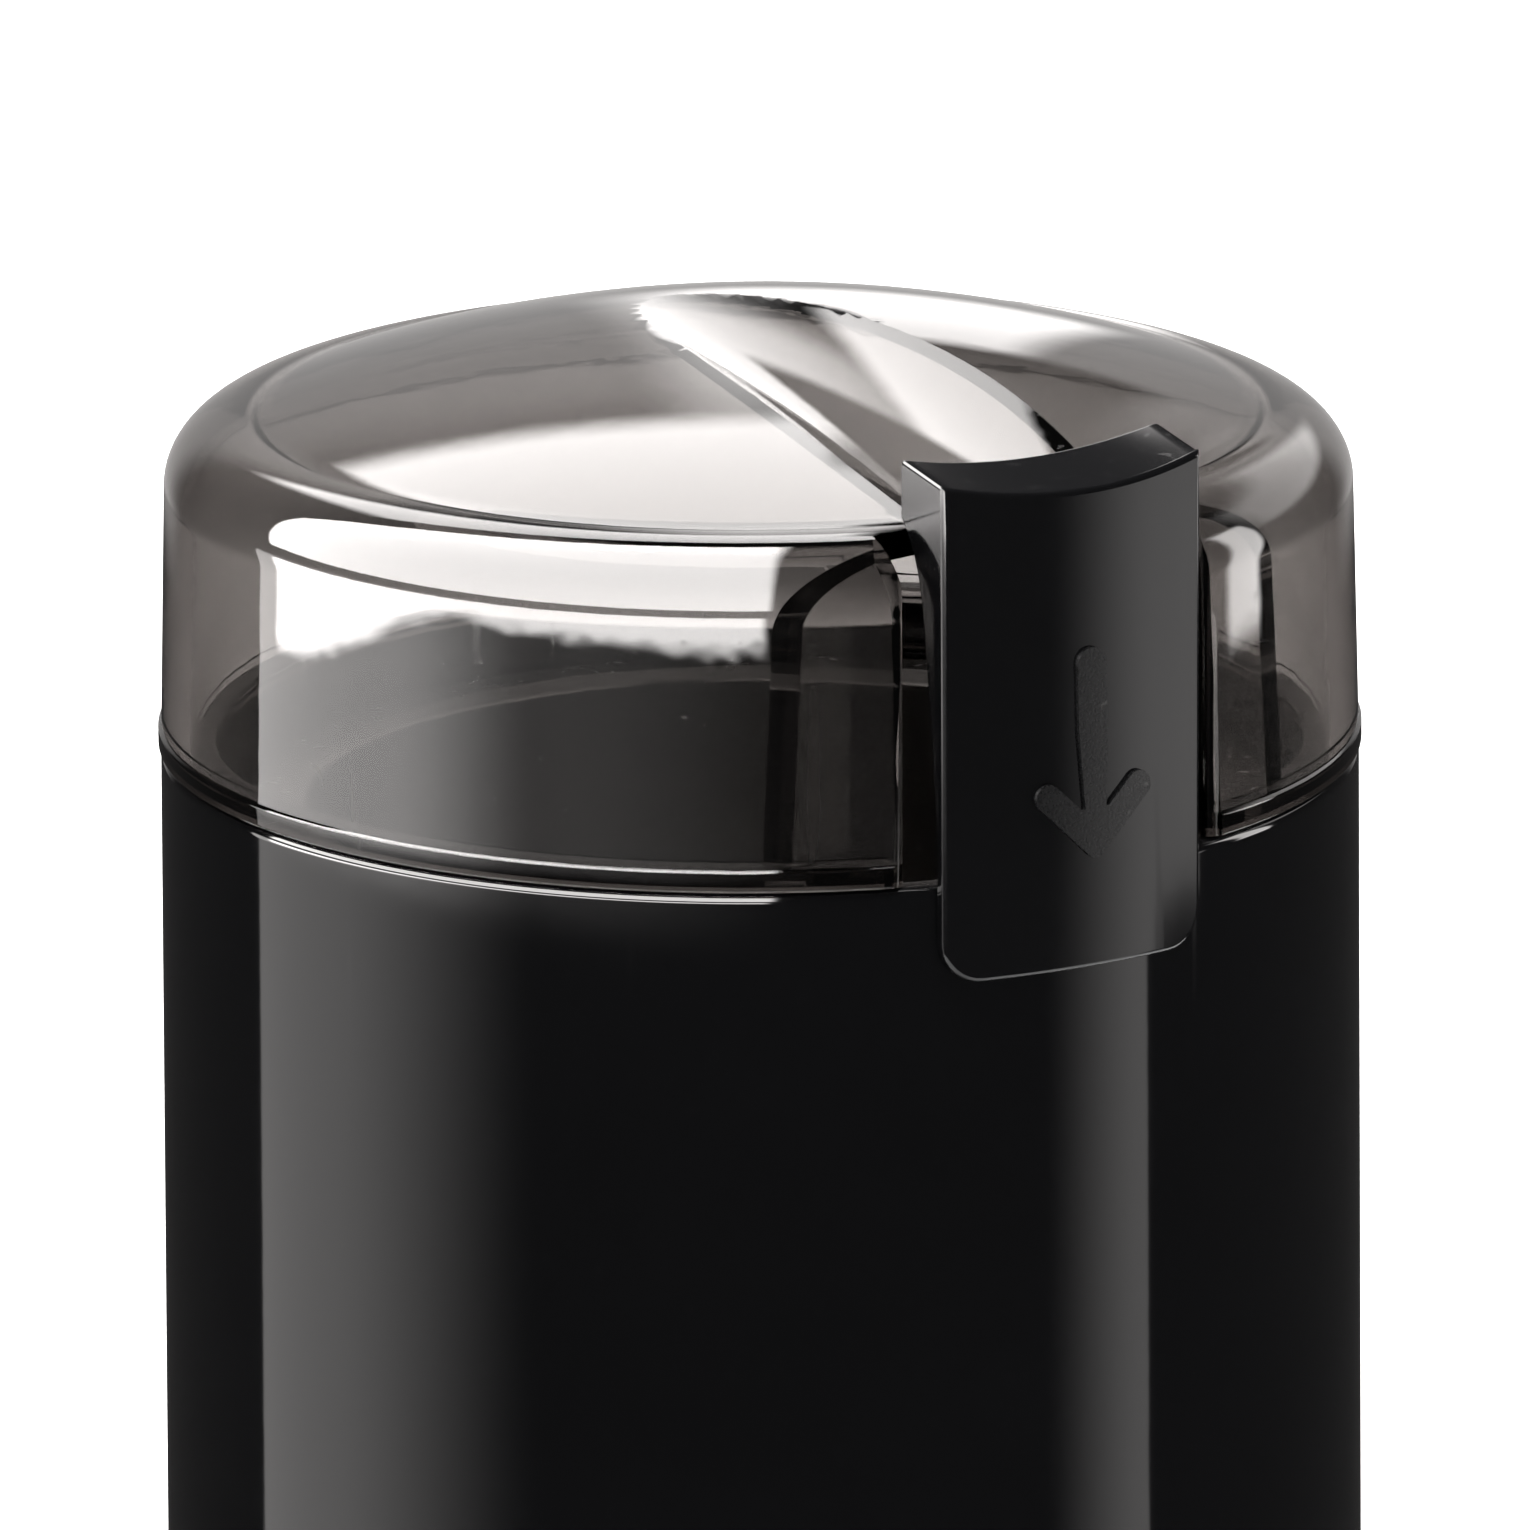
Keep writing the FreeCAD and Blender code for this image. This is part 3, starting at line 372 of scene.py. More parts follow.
def block(x, y, z, edge=0.0):
    """Box between (low, high) millimetre pairs, with its edges broken where asked."""
    bm = bmesh.new()
    middle = Vector((sum(x), sum(y), sum(z))) / 2000
    size = Vector((x[1] - x[0], y[1] - y[0], z[1] - z[0])) / 1000
    bmesh.ops.create_cube(bm, size=1.0, matrix=Matrix.Translation(middle)
                          @ Matrix.Diagonal((*size, 1.0)))
    if edge > 0:
        bmesh.ops.bevel(bm, geom=bm.edges[:], offset=edge / 1000, segments=2, profile=0.5,
                        affect="EDGES", material=-1)
    return bm


def swung(bm, degrees):
    """Turn a mesh about the upright axis."""
    bmesh.ops.rotate(bm, verts=bm.verts, matrix=Matrix.Rotation(math.radians(degrees), 3, "Z"))
    return bm


def finished(made, name, finish, body, crease=32):
    """Turn a working object into a finished piece."""
    bm = bmesh.new()
    bm.from_mesh(made.data)
    bpy.data.objects.remove(made)
    bmesh.ops.remove_doubles(bm, verts=bm.verts, dist=2e-7)
    bmesh.ops.dissolve_degenerate(bm, edges=bm.edges, dist=2e-7)
    return settle(bm, name, finish, body, crease)


def gloss_plastic(name, roughness, colour=(0.0032, 0.0032, 0.0036)):
    """High-gloss black plastic: mirror skin with faint flow marks, dust and hair scratches."""
    finish, tree, shader, place = new_finish(name)
    marks = put(tree, "Group", node_tree=handling_marks)
    tree.links.new(place, marks.inputs["Vector"])
    pale = tuple(c * 1.5 for c in colour)
    shade = blended(tree, marks.outputs["Mottle"], (*colour, 1), (*pale, 1))
    dusty = blended(tree, spread(tree, marks.outputs["Specks"], 0.0, 0.006), shade,
                    (0.30, 0.30, 0.30, 1))
    tree.links.new(dusty, shader.inputs["Base Color"])
    haze = spread(tree, marks.outputs["Mottle"], roughness * 0.85, roughness * 1.2)
    scratched = put(tree, "Math", {0: spread(tree, marks.outputs["Scratches"], 0.0, 0.05), 1: haze},
                    operation="ADD")
    tree.links.new(scratched.outputs[0], shader.inputs["Roughness"])
    bump = put(tree, "Bump", {"Height": marks.outputs["Mottle"], "Distance": 0.000012})
    tree.links.new(bump.outputs["Normal"], shader.inputs["Normal"])
    return finish


black_housing = gloss_plastic("black_housing", 0.05)

deck_top = 131.5
rim_top = 136.0
housing_wall = soften([(43.77, 1.6, 0), (45.97, 1.6, 0.5), (45.1, rim_top, 0.75),
                       (42.9, rim_top, 0.3), (42.93, deck_top, 0.4), (35.2, deck_top, 0.3),
                       (35.2, 129.5, 0.3), (42.94, 129.5, 0.4)], 6)
shell = form(turned(housing_wall, 320))
leg_way = (-6.1, 6.1)
pin_place, pin_r, lug_turn = (0, -40.2), 1.5, -28
pin_hole = turned([(0, 110), (pin_r, 110), (pin_r, 140), (0, 140)], 48, pin_place)
for cut in (block(leg_way, (-50, -38.4), (129.9, 140)), block(leg_way, (-42.6, -39.2), (120, 140)),
            swung(pin_hole, lug_turn)):
    shell = combined(shell, form(cut), "DIFFERENCE")


inlet_z = 13


def oblong(half_x, half_z, y):
    """Rounded bar along Y at the height of the mains inlet."""
    bm = block((-half_x, half_x), y, (inlet_z - half_z, inlet_z + half_z))
    along = [e for e in bm.edges if abs(e.verts[0].co.y - e.verts[1].co.y) > 0.0001]
    bmesh.ops.bevel(bm, geom=along, offset=half_z / 1000 - 0.00001, segments=12, profile=0.5,
                    affect="EDGES", material=-1)
    return bm


shell = combined(shell, form(oblong(4.2, 2.8, (40, 50))), "DIFFERENCE")
shell = combined(shell, form(oblong(5.8, 4.4, (45.0, 50))), "DIFFERENCE")

guide_y, guide_z = (-43.6, -38.4), (98, 128)
shelf_z, shelf_wall_z, gusset_z, pin_shelf_z = (69.5, 72), (69.5, 82), (62, 69.5), (94, 96)
inside = block((-8.6, -6.2), guide_y, guide_z, 0.3)
add_to(inside, block((6.2, 8.6), guide_y, guide_z, 0.3))
add_to(inside, block((-14.5, 14.5), (-42.4, -31), shelf_z, 0.3))
add_to(inside, block((-14.5, -12.3), (-42.4, -32), shelf_wall_z, 0.3))
add_to(inside, block((4.3, 5.5), (-43.6, -32), shelf_wall_z, 0.3))
for middle_x, wall_y in ((-11, -43.2), (0, -44.0), (11, -43.2)):
    add_to(inside, block((middle_x - 0.8, middle_x + 0.8), (wall_y, -34), gusset_z, 0.3))
for across, wall_y in (((-7.2, -4.9), -42.9), ((-3.1, 3.1), -43.5), ((4.9, 7.2), -42.9)):
    add_to(inside, swung(block(across, (wall_y, -35.6), pin_shelf_z, 0.2), lug_turn))
pin_sleeve = turned([(pin_r, 122), (2.9, 122), (2.9, 131), (pin_r, 131)], 40, pin_place)
add_to(inside, swung(pin_sleeve, lug_turn))
boss_circle = 36.5
for side in (0, 180, 270):
    at = (boss_circle * math.cos(math.radians(side)), boss_circle * math.sin(math.radians(side)))
    add_to(inside, turned([(1.55, 4.8), (4.2, 4.8), (4.2, 26), (1.55, 26)], 48, at))
    add_to(inside, swung(block((40.5, 43.9), (-1, 1), (4.8, 24), 0.2), side))
for side in (20, 62, 118, 160, 200, 340):
    add_to(inside, swung(block((40.5, 43.4), (-0.7, 0.7), (30, 128), 0.2), side))
inside = settle(inside, "housing_ribs", black_housing, "motor_body")
shell = finished(shell, "housing_shell", black_housing, "motor_body")
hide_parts("motor_housing")
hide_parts("motor_housing")


# Mains inlet: a soft grommet snapped into the wall at the back, moulded in black rubber with a
# flat hole through it and rounded lips on both sides of the wall.
def softened(made, radius):
    """Round every sharp edge of a working object."""
    bm = bmesh.new()
    bm.from_mesh(made.data)
    rims = [e for e in bm.edges if e.calc_face_angle(0) > 0.9]
    bmesh.ops.bevel(bm, geom=rims, offset=radius / 1000, segments=3, profile=0.5, affect="EDGES",
                    material=-1, clamp_overlap=True)
    bm.to_mesh(made.data)
    bm.free()
    return made


gland = form(oblong(4.0, 2.6, (41.9, 45.6)))
for lip in (oblong(5.6, 4.2, (45.0, 46.2)), oblong(5.6, 4.2, (41.3, 43.3))):
    gland = combined(gland, form(lip), "UNION")
gland = combined(gland, form(oblong(2.7, 1.7, (30, 60))), "DIFFERENCE")
gland = finished(softened(gland, 0.3), "gland", black_rubber, "motor_body")
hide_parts("cord_gland")


# Grinding bowl: a deep-drawn stainless cup with a rolled flange, polished inside, resting on a
# thin rubber ring on the deck; a rubber grommet seals the shaft in its raised floor.
bowl_steel = metal("bowl_steel", (0.40, 0.39, 0.38), (0.31, 0.305, 0.30), 0.22, 5000.0, 0.000003)
bowl_outline = soften([(5.2, 97.0, 0), (10.2, 97.0, 1.8), (11.6, 95.0, 1.2), (32.4, 95.0, 8.6),
                       (33.8, 132.7, 1.2), (38.0, 132.7, 0.25), (38.0, 132.1, 0.2),
                       (34.4, 132.1, 0.6), (33.0, 94.4, 9.2), (11.3, 94.4, 0.9),
                       (9.9, 96.4, 1.2), (5.2, 96.4, 0)], 10)
stud_outline = soften([(1.6, 89.4, 0.1), (2.6, 89.4, 0.2), (2.6, 94.5, 0), (0, 94.5, 0),
                       (0, 93.4, 0), (1.6, 93.4, 0)], 3)
stud_circle = 22
bowl = turned(bowl_outline, 256)
for side in (90, 210, 330):
    at = (stud_circle * math.cos(math.radians(side)), stud_circle * math.sin(math.radians(side)))
    add_to(bowl, turned(stud_outline, 48, at))
bowl = settle(bowl, "bowl", bowl_steel, "motor_body")
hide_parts("grinding_bowl")

gasket_outline = soften([(35.6, deck_top, 0.1), (38.0, deck_top, 0.1), (38.0, 132.1, 0.1),
                         (35.6, 132.1, 0.1)], 3)
gasket = settle(turned(gasket_outline, 192), "gasket", black_rubber, "motor_body")
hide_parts("bowl_gasket")

seal_outline = soften([(2.55, 94.4, 0), (7.2, 94.4, 0.2), (7.2, 96.35, 0.1), (5.1, 96.35, 0),
                       (5.1, 97.05, 0), (6.8, 97.05, 0.2), (6.2, 97.9, 0.3), (3.75, 98.3, 0.3),
                       (2.55, 98.3, 0.1)], 4)
seal = settle(turned(seal_outline, 96), "shaft_grommet", grey_rubber, "motor_body")
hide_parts("shaft_seal")


# Blade and nut: two wings stamped from stainless strip, ground along their leading edges, swept
# up and twisted, and clamped on the shaft's flats by a domed nut with two spanner flats.
blade_steel = metal("blade_steel", (0.68, 0.67, 0.65), (0.52, 0.52, 0.51), 0.22, 3000.0, 0.000005)
dress("blade", blade_steel)
nut_outline = soften([(0, 101.5, 0), (6.4, 101.5, 0.3), (6.4, 104.9, 1.6), (3.6, 107.4, 3.0),
                      (0, 107.9, 0)], 8)
nut = form(turned(nut_outline, 128))
nut = combined(nut, form(block((-8, 8), (-5.4, 5.4), (101, 110))), "INTERSECT")
nut = finished(nut, "nut", shaft_steel, "rotor", 30)
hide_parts("blade_nut")


# Lid: one moulding in smoky clear plastic, 2.2 mm thick, with a dome inside a crease ring, a
# trough that falls towards the button, a slot for the button and a thin flat wall behind it.
lid_low = 136.1
lid_wall = 2.2
trough_r = 20.0
slot_half = 12.8
screen_back, screen_front = -37.0, -38.0


def lid_outline(inset, low, foot):
    """Outline of the lid's outside, or of its inside with an inset, from axis to axis."""
    wall_z = 20 - 0.4 * inset
    shoulder = 44.6 - inset
    ring = 38.0 - 0.6 * inset
    ring_z = 25.5 - inset
    top_z = 32.0 - inset
    rise = top_z - ring_z
    dome_r = (ring ** 2 + rise ** 2) / (2 * rise)
    points = foot + [(shoulder, low + wall_z)]
    for k in range(1, 21):
        angle = math.pi / 2 * k / 20
        points.append((ring + (shoulder - ring) * math.cos(angle),
                       low + wall_z + (ring_z - wall_z) * math.sin(angle)))
    spread_angle = math.asin(ring / dome_r)
    for k in range(1, 33):
        angle = spread_angle * (1 - k / 32)
        points.append((dome_r * math.sin(angle), low + top_z - dome_r + dome_r * math.cos(angle)))
    points[-1] = (0, low + top_z)
    return points


def trough_tube(radius):
    """Tube bent in a gentle arc over the dome, whose underside presses the trough."""
    bm = bmesh.new()
    middle = Vector((0, 0.024067, -0.079823))
    bend_radius = (247.328 + trough_r) / 1000
    lean = math.radians(-22)
    start = middle + Vector((0, -math.sin(lean), math.cos(lean))) * bend_radius
    facing = Matrix.Rotation(lean, 4, "X") @ Matrix.Rotation(math.radians(90), 4, "X")
    bmesh.ops.create_circle(bm, segments=192, radius=radius / 1000,
                            matrix=Matrix.Translation(start) @ facing)
    bmesh.ops.spin(bm, geom=bm.verts[:] + bm.edges[:], cent=middle, axis=(1, 0, 0),
                   angle=math.radians(44), steps=110)
    bmesh.ops.holes_fill(bm, edges=bm.edges[:], sides=0)
    bmesh.ops.recalc_face_normals(bm, faces=bm.faces)
    return bm


outer_foot = soften([(0, lid_low - 3.5, 0), (42.4, lid_low - 3.5, 0.3), (42.4, lid_low, 0),
                     (45.3, lid_low, 0.25), (45.3, lid_low + 1.6, 0.2),
                     (45.06, lid_low + 1.75, 0)], 4)
inner_foot = soften([(0, lid_low - 5, 0), (40.9, lid_low - 5, 0), (40.9, lid_low + 1.4, 0.25),
                     (42.86, lid_low + 1.4, 0)], 4)
outside = lid_outline(0.0, lid_low, outer_foot)
inner = lid_outline(lid_wall, lid_low, inner_foot)
hood = combined(form(turned(outside, 256)), form(trough_tube(trough_r)), "DIFFERENCE")
for room in ((screen_back, 60), (-60, screen_front)):
    void = combined(form(turned(inner, 256)), form(trough_tube(trough_r + lid_wall)), "DIFFERENCE")
    void = combined(void, form(block((-60, 60), room, (110, 190))), "INTERSECT")
    hood = combined(hood, void, "DIFFERENCE")
slot = form(block((-slot_half, slot_half), (-60, screen_front), (110, 190)))
hood = combined(hood, slot, "DIFFERENCE")


def slot_edge(side):
    """Tool that rounds the upright edge of the slot at one side, over the lid's whole height."""
    bm = bmesh.new()
    outline = []
    round_r, middle_y = 0.9, -41.85
    for k in range(9):
        turn = math.radians(108.1 * k / 8)
        outline.append((side * (slot_half + round_r - round_r * math.cos(turn)),
                        middle_y - round_r * math.sin(turn)))
    outline += [(side * 15.56, -47.5), (side * 12.6, -47.5), (side * 12.6, middle_y)]
    foot = bm.faces.new([bm.verts.new((x / 1000, y / 1000, 0.110)) for x, y in outline])
    pushed = bmesh.ops.extrude_face_region(bm, geom=[foot], use_keep_orig=True)["geom"]
    top = [v for v in pushed if isinstance(v, bmesh.types.BMVert)]
    bmesh.ops.translate(bm, verts=top, vec=(0, 0, 0.080))
    bmesh.ops.recalc_face_normals(bm, faces=bm.faces)
    return bm


for side in (-1, 1):
    hood = combined(hood, form(slot_edge(side)), "DIFFERENCE")


def smoky_plastic():
    """Smoky clear plastic: dark in depth, faintly flowed, with dust and fine scratches."""
    finish, tree, shader, place = new_finish("smoky_clear")
    shader.inputs["Transmission Weight"].default_value = 1.0
    shader.inputs["IOR"].default_value = 1.52
    marks = put(tree, "Group", node_tree=handling_marks)
    tree.links.new(place, marks.inputs["Vector"])
    tint = blended(tree, marks.outputs["Mottle"], (0.95, 0.95, 0.95, 1), (0.90, 0.895, 0.89, 1))
    tree.links.new(tint, shader.inputs["Base Color"])
    grit = put(tree, "Math", {0: spread(tree, marks.outputs["Specks"], 0.0, 0.10),
                              1: spread(tree, marks.outputs["Scratches"], 0.004, 0.05)},
               operation="ADD")
    tree.links.new(grit.outputs[0], shader.inputs["Roughness"])
    bump = put(tree, "Bump", {"Height": marks.outputs["Mottle"], "Distance": 0.00003})
    tree.links.new(bump.outputs["Normal"], shader.inputs["Normal"])
    smoke = tree.nodes.new("ShaderNodeVolumeAbsorption")
    smoke.inputs["Color"].default_value = (0.50, 0.475, 0.462, 1)
    smoke.inputs["Density"].default_value = 800.0
    tree.links.new(smoke.outputs["Volume"], tree.nodes["Material Output"].inputs["Volume"])
    return finish


smoky_clear = smoky_plastic()
lug = swung(block((-1.5, 1.5), (-41.3, -39.2), (131.6, lid_low - 0.2), 0.2), lug_turn)
hood = combined(hood, form(lug), "UNION")
hood = finished(hood, "hood", smoky_clear, "hood", 28)
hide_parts("lid")


# Push button: a tall tab in gloss black plastic that stands up in front of the lid, with rounded
# edges, a shallow hollow along its top and a raised arrow, and with a leg down into the housing.
button_r = 46.2
skirt_r = 45.35
button_back = ((-7.2, None), (4.62, None), (4.7, -43.70), (6.4, -43.52), (8.4, -43.28),
               (10.5, -43.02), (12.8, -42.75), (15.0, -42.48), (17.4, -42.20), (19.0, -41.98),
               (20.5, -41.72), (22.0, -41.40), (23.0, -41.10), (24.0, -40.68), (24.8, -40.24),
               (25.4, -39.84), (26.0, -39.35), (26.6, -38.80), (40.0, -38.80))


def back_y(x, z):
    """Depth of the button's back at a height above the rim."""
    skirt = -math.sqrt(skirt_r ** 2 - x ** 2)
    for (low, near), (high, far) in zip(button_back, button_back[1:]):
        if z <= high:
            break
    near = skirt if near is None else near
    far = skirt if far is None else far
    return near + (far - near) * max(0.0, (z - low) / (high - low))


def tab_mesh():
    """The tab: its face outline, cut into strips, thickened and laid on the two curved sides."""
    bm = bmesh.new()
    half, foot, top, hollow_low, hollow_r = 11, -7.2, 30.1, 28.88, 50
    outline = soften([(-half, foot, 3.0), (half, foot, 3.0), (half, top, 0), (-half, top, 0)], 8)[:-1]
    outline += [(-k, hollow_low + hollow_r - math.sqrt(hollow_r ** 2 - k * k))
                for k in range(-10, 11)]
    outline.append((-half, top))
    bm.faces.new([bm.verts.new((x / 1000, 0, (rim_top + z) / 1000)) for x, z in outline])
    for k in range(-9, 10):
        bmesh.ops.bisect_plane(bm, geom=bm.verts[:] + bm.edges[:] + bm.faces[:], dist=1e-7,
                               plane_co=(k / 1000, 0, 0), plane_no=(1, 0, 0))
    front = bm.faces[:]
    pushed = bmesh.ops.extrude_face_region(bm, geom=front, use_keep_orig=True)["geom"]
    behind = [v for v in pushed if isinstance(v, bmesh.types.BMVert)]
    bmesh.ops.translate(bm, verts=behind, vec=(0, 0.004, 0))
    kept = set(front)
    for low, _ in button_back[1:-1]:
        rear = [f for f in bm.faces if f not in kept]
        edges = list({e for f in rear for e in f.edges})
        verts = list({v for f in rear for v in f.verts})
        bmesh.ops.bisect_plane(bm, geom=verts + edges + rear, dist=1e-7,
                               plane_co=(0, 0, (rim_top + low) / 1000), plane_no=(0, 0, 1))
    for v in bm.verts:
        x, z = v.co.x * 1000, v.co.z * 1000 - rim_top
        if v.co.y < 0.002:
            v.co.y = -math.sqrt(button_r ** 2 - x * x) / 1000
            continue
        if z > 27:
            v.co.z += 0.001
        v.co.y = back_y(x, z) / 1000
    bmesh.ops.recalc_face_normals(bm, faces=bm.faces)
    rim = [e for e in bm.edges if all(abs(math.hypot(v.co.x, v.co.y) * 1000 - button_r) < 0.001
                                      for v in e.verts) and e.calc_face_angle(0) > 0.9]
    bmesh.ops.bevel(bm, geom=rim, offset=0.0014, segments=7, profile=0.5, affect="EDGES",
                    material=-1, clamp_overlap=True)
    sides = [e for e in bm.edges if e.calc_face_angle(0) > 0.9
             and all(math.hypot(v.co.x, v.co.y) * 1000 < button_r - 1.2 or v.co.y > -0.0445
                     for v in e.verts) and e.verts[0].co.z > 0.1409]
    bmesh.ops.bevel(bm, geom=sides, offset=0.0004, segments=3, profile=0.5, affect="EDGES",
                    material=-1, clamp_overlap=True)
    return bm


black_button = gloss_plastic("black_button", 0.10, (0.0036, 0.0036, 0.0040))
tab = tab_mesh()
leg_x, leg_foot = (-5.5, 5.5), 91
peg_outline = soften([(0, 87.5, 0), (1.9, 87.5, 0.4), (1.9, 91.5, 0), (0, 91.5, 0)], 4)
for inner_part in (block(leg_x, (-45.6, -39.7), (134.2, 138.0), 0.3),
                   block(leg_x, (-42.2, -39.7), (leg_foot, 138.0), 0.3),
                   block((-9.0, 12.5), (-40.3, -33.5), (leg_foot, 94), 0.4),
                   turned(peg_outline, 48, (9.0, -36.5))):
    add_to(tab, inner_part)
for x in (-4.6, 3.4):
    web = block((x, x + 1.2), (-39.9, -34.0), (93.8, 101.8))
    for v in web.verts:
        if v.co.y > -0.035 and v.co.z > 0.1:
            v.co.y = -0.0398
    add_to(tab, web)
tab = settle(tab, "button", black_button, "button", 30)
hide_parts("push_button")

arrow_black = moulded("arrow_black", (0.005, 0.005, 0.0055), 0.24, 5200.0, 0.00001)
arrow_outline = soften([(-0.45, 17.1, 1.22), (2.02, 17.0, 1.22), (2.22, 10.4, 2.0),
                        (2.05, 4.75, 0.15), (4.92, 7.55, 1.0), (6.55, 6.15, 1.0),
                        (1.2, 0.85, 0.7), (-4.35, 6.2, 1.0), (-2.75, 7.45, 1.0),
                        (0.28, 4.6, 0.15), (-0.27, 10.6, 2.0)], 8)
arrow_height = 0.32


def arrow_mesh():
    """The arrow: its outline cut into strips, laid on the button's curve and given round edges."""
    bm = bmesh.new()
    bm.faces.new([bm.verts.new(((x - 0.15) / 1000, 0, (rim_top + z) / 1000))
                  for x, z in arrow_outline])
    for k in range(-9, 15):
        bmesh.ops.bisect_plane(bm, geom=bm.verts[:] + bm.edges[:] + bm.faces[:], dist=1e-7,
                               plane_co=(k / 2000, 0, 0), plane_no=(1, 0, 0))
    front = bm.faces[:]
    pushed = bmesh.ops.extrude_face_region(bm, geom=front, use_keep_orig=True)["geom"]
    behind = {v for v in pushed if isinstance(v, bmesh.types.BMVert)}
    for v in bm.verts:
        reach = button_r - 0.4 if v in behind else button_r + arrow_height
        v.co.y = -math.sqrt(reach ** 2 - (v.co.x * 1000) ** 2) / 1000
    bmesh.ops.recalc_face_normals(bm, faces=bm.faces)
    rim = [e for e in bm.edges if e.calc_face_angle(0) > 0.9
           and all(v not in behind for v in e.verts)]
    bmesh.ops.bevel(bm, geom=rim, offset=0.00022, segments=4, profile=0.5, affect="EDGES",
                    material=-1, clamp_overlap=True)
    return bm


settle(arrow_mesh(), "button_arrow", arrow_black, "button", 40)


# Studio: a pale floor, two large soft lamps, white surroundings that glass sees darker overhead,
# and a dark tent with white panels round the grinder that only its gloss shows. Then the camera.
def reckon(tree, kind, first, *others):
    """Result of one kind of sum over several values, taken in turn."""
    found = first
    for other in others:
        found = put(tree, "Math", {0: found, 1: other}, operation=kind).outputs[0]
    return found


def pale_floor():
    """White sweep: diffuse white that the camera, gloss and glass see a little brighter."""
    finish = bpy.data.materials.new("studio_floor")
    finish.use_nodes = True
    tree = finish.node_tree
    tree.nodes.remove(tree.nodes["Principled BSDF"])
    paper = tree.nodes.new("ShaderNodeTexCoord").outputs["Object"]
    fibres = put(tree, "TexNoise", {"Vector": paper, "Scale": 900.0, "Detail": 3.0})
    tone = put(tree, "Mix", {0: fibres.outputs["Fac"], 6: (0.79, 0.79, 0.79, 1),
                             7: (0.81, 0.81, 0.81, 1)}, data_type="RGBA")
    matt = put(tree, "BsdfDiffuse", {"Color": tone.outputs[2]})
    path = tree.nodes.new("ShaderNodeLightPath")
    seen = reckon(tree, "MAXIMUM", path.outputs["Is Camera Ray"], path.outputs["Is Glossy Ray"],
                  path.outputs["Is Transmission Ray"])
    glow = put(tree, "Emission", {"Strength": reckon(tree, "MULTIPLY", seen, 0.30)})
    both = put(tree, "AddShader", {0: matt.outputs[0], 1: glow.outputs[0]})
    tree.links.new(both.outputs[0], tree.nodes["Material Output"].inputs["Surface"])
    return finish


def stage_piece(bm, name, finish):
    """Object that belongs to the studio and not to the grinder."""
    mesh = bpy.data.meshes.new(name)
    bm.to_mesh(mesh)
    bm.free()
    mesh.materials.append(finish)
    made = bpy.data.objects.new(name, mesh)
    bpy.context.scene.collection.objects.link(made)
    return made


ground = bmesh.new()
bmesh.ops.create_grid(ground, x_segments=2, y_segments=2, size=4.0)
stage_piece(ground, "floor", pale_floor())

view_azimuth = -30.5
tent_radius = 0.21
tent_middle = 0.15


def ramp(tree, value, start, end):
    """Smooth step from 0 at the start to 1 at the end."""
    return put(tree, "MapRange", {"Value": value, "From Min": start, "From Max": end},
               interpolation_type="SMOOTHSTEP").outputs[0]


def scaled(tree, *values):
    """Several values multiplied, such as a panel's strength by how far each edge lets it show."""
    return reckon(tree, "MULTIPLY", *values)


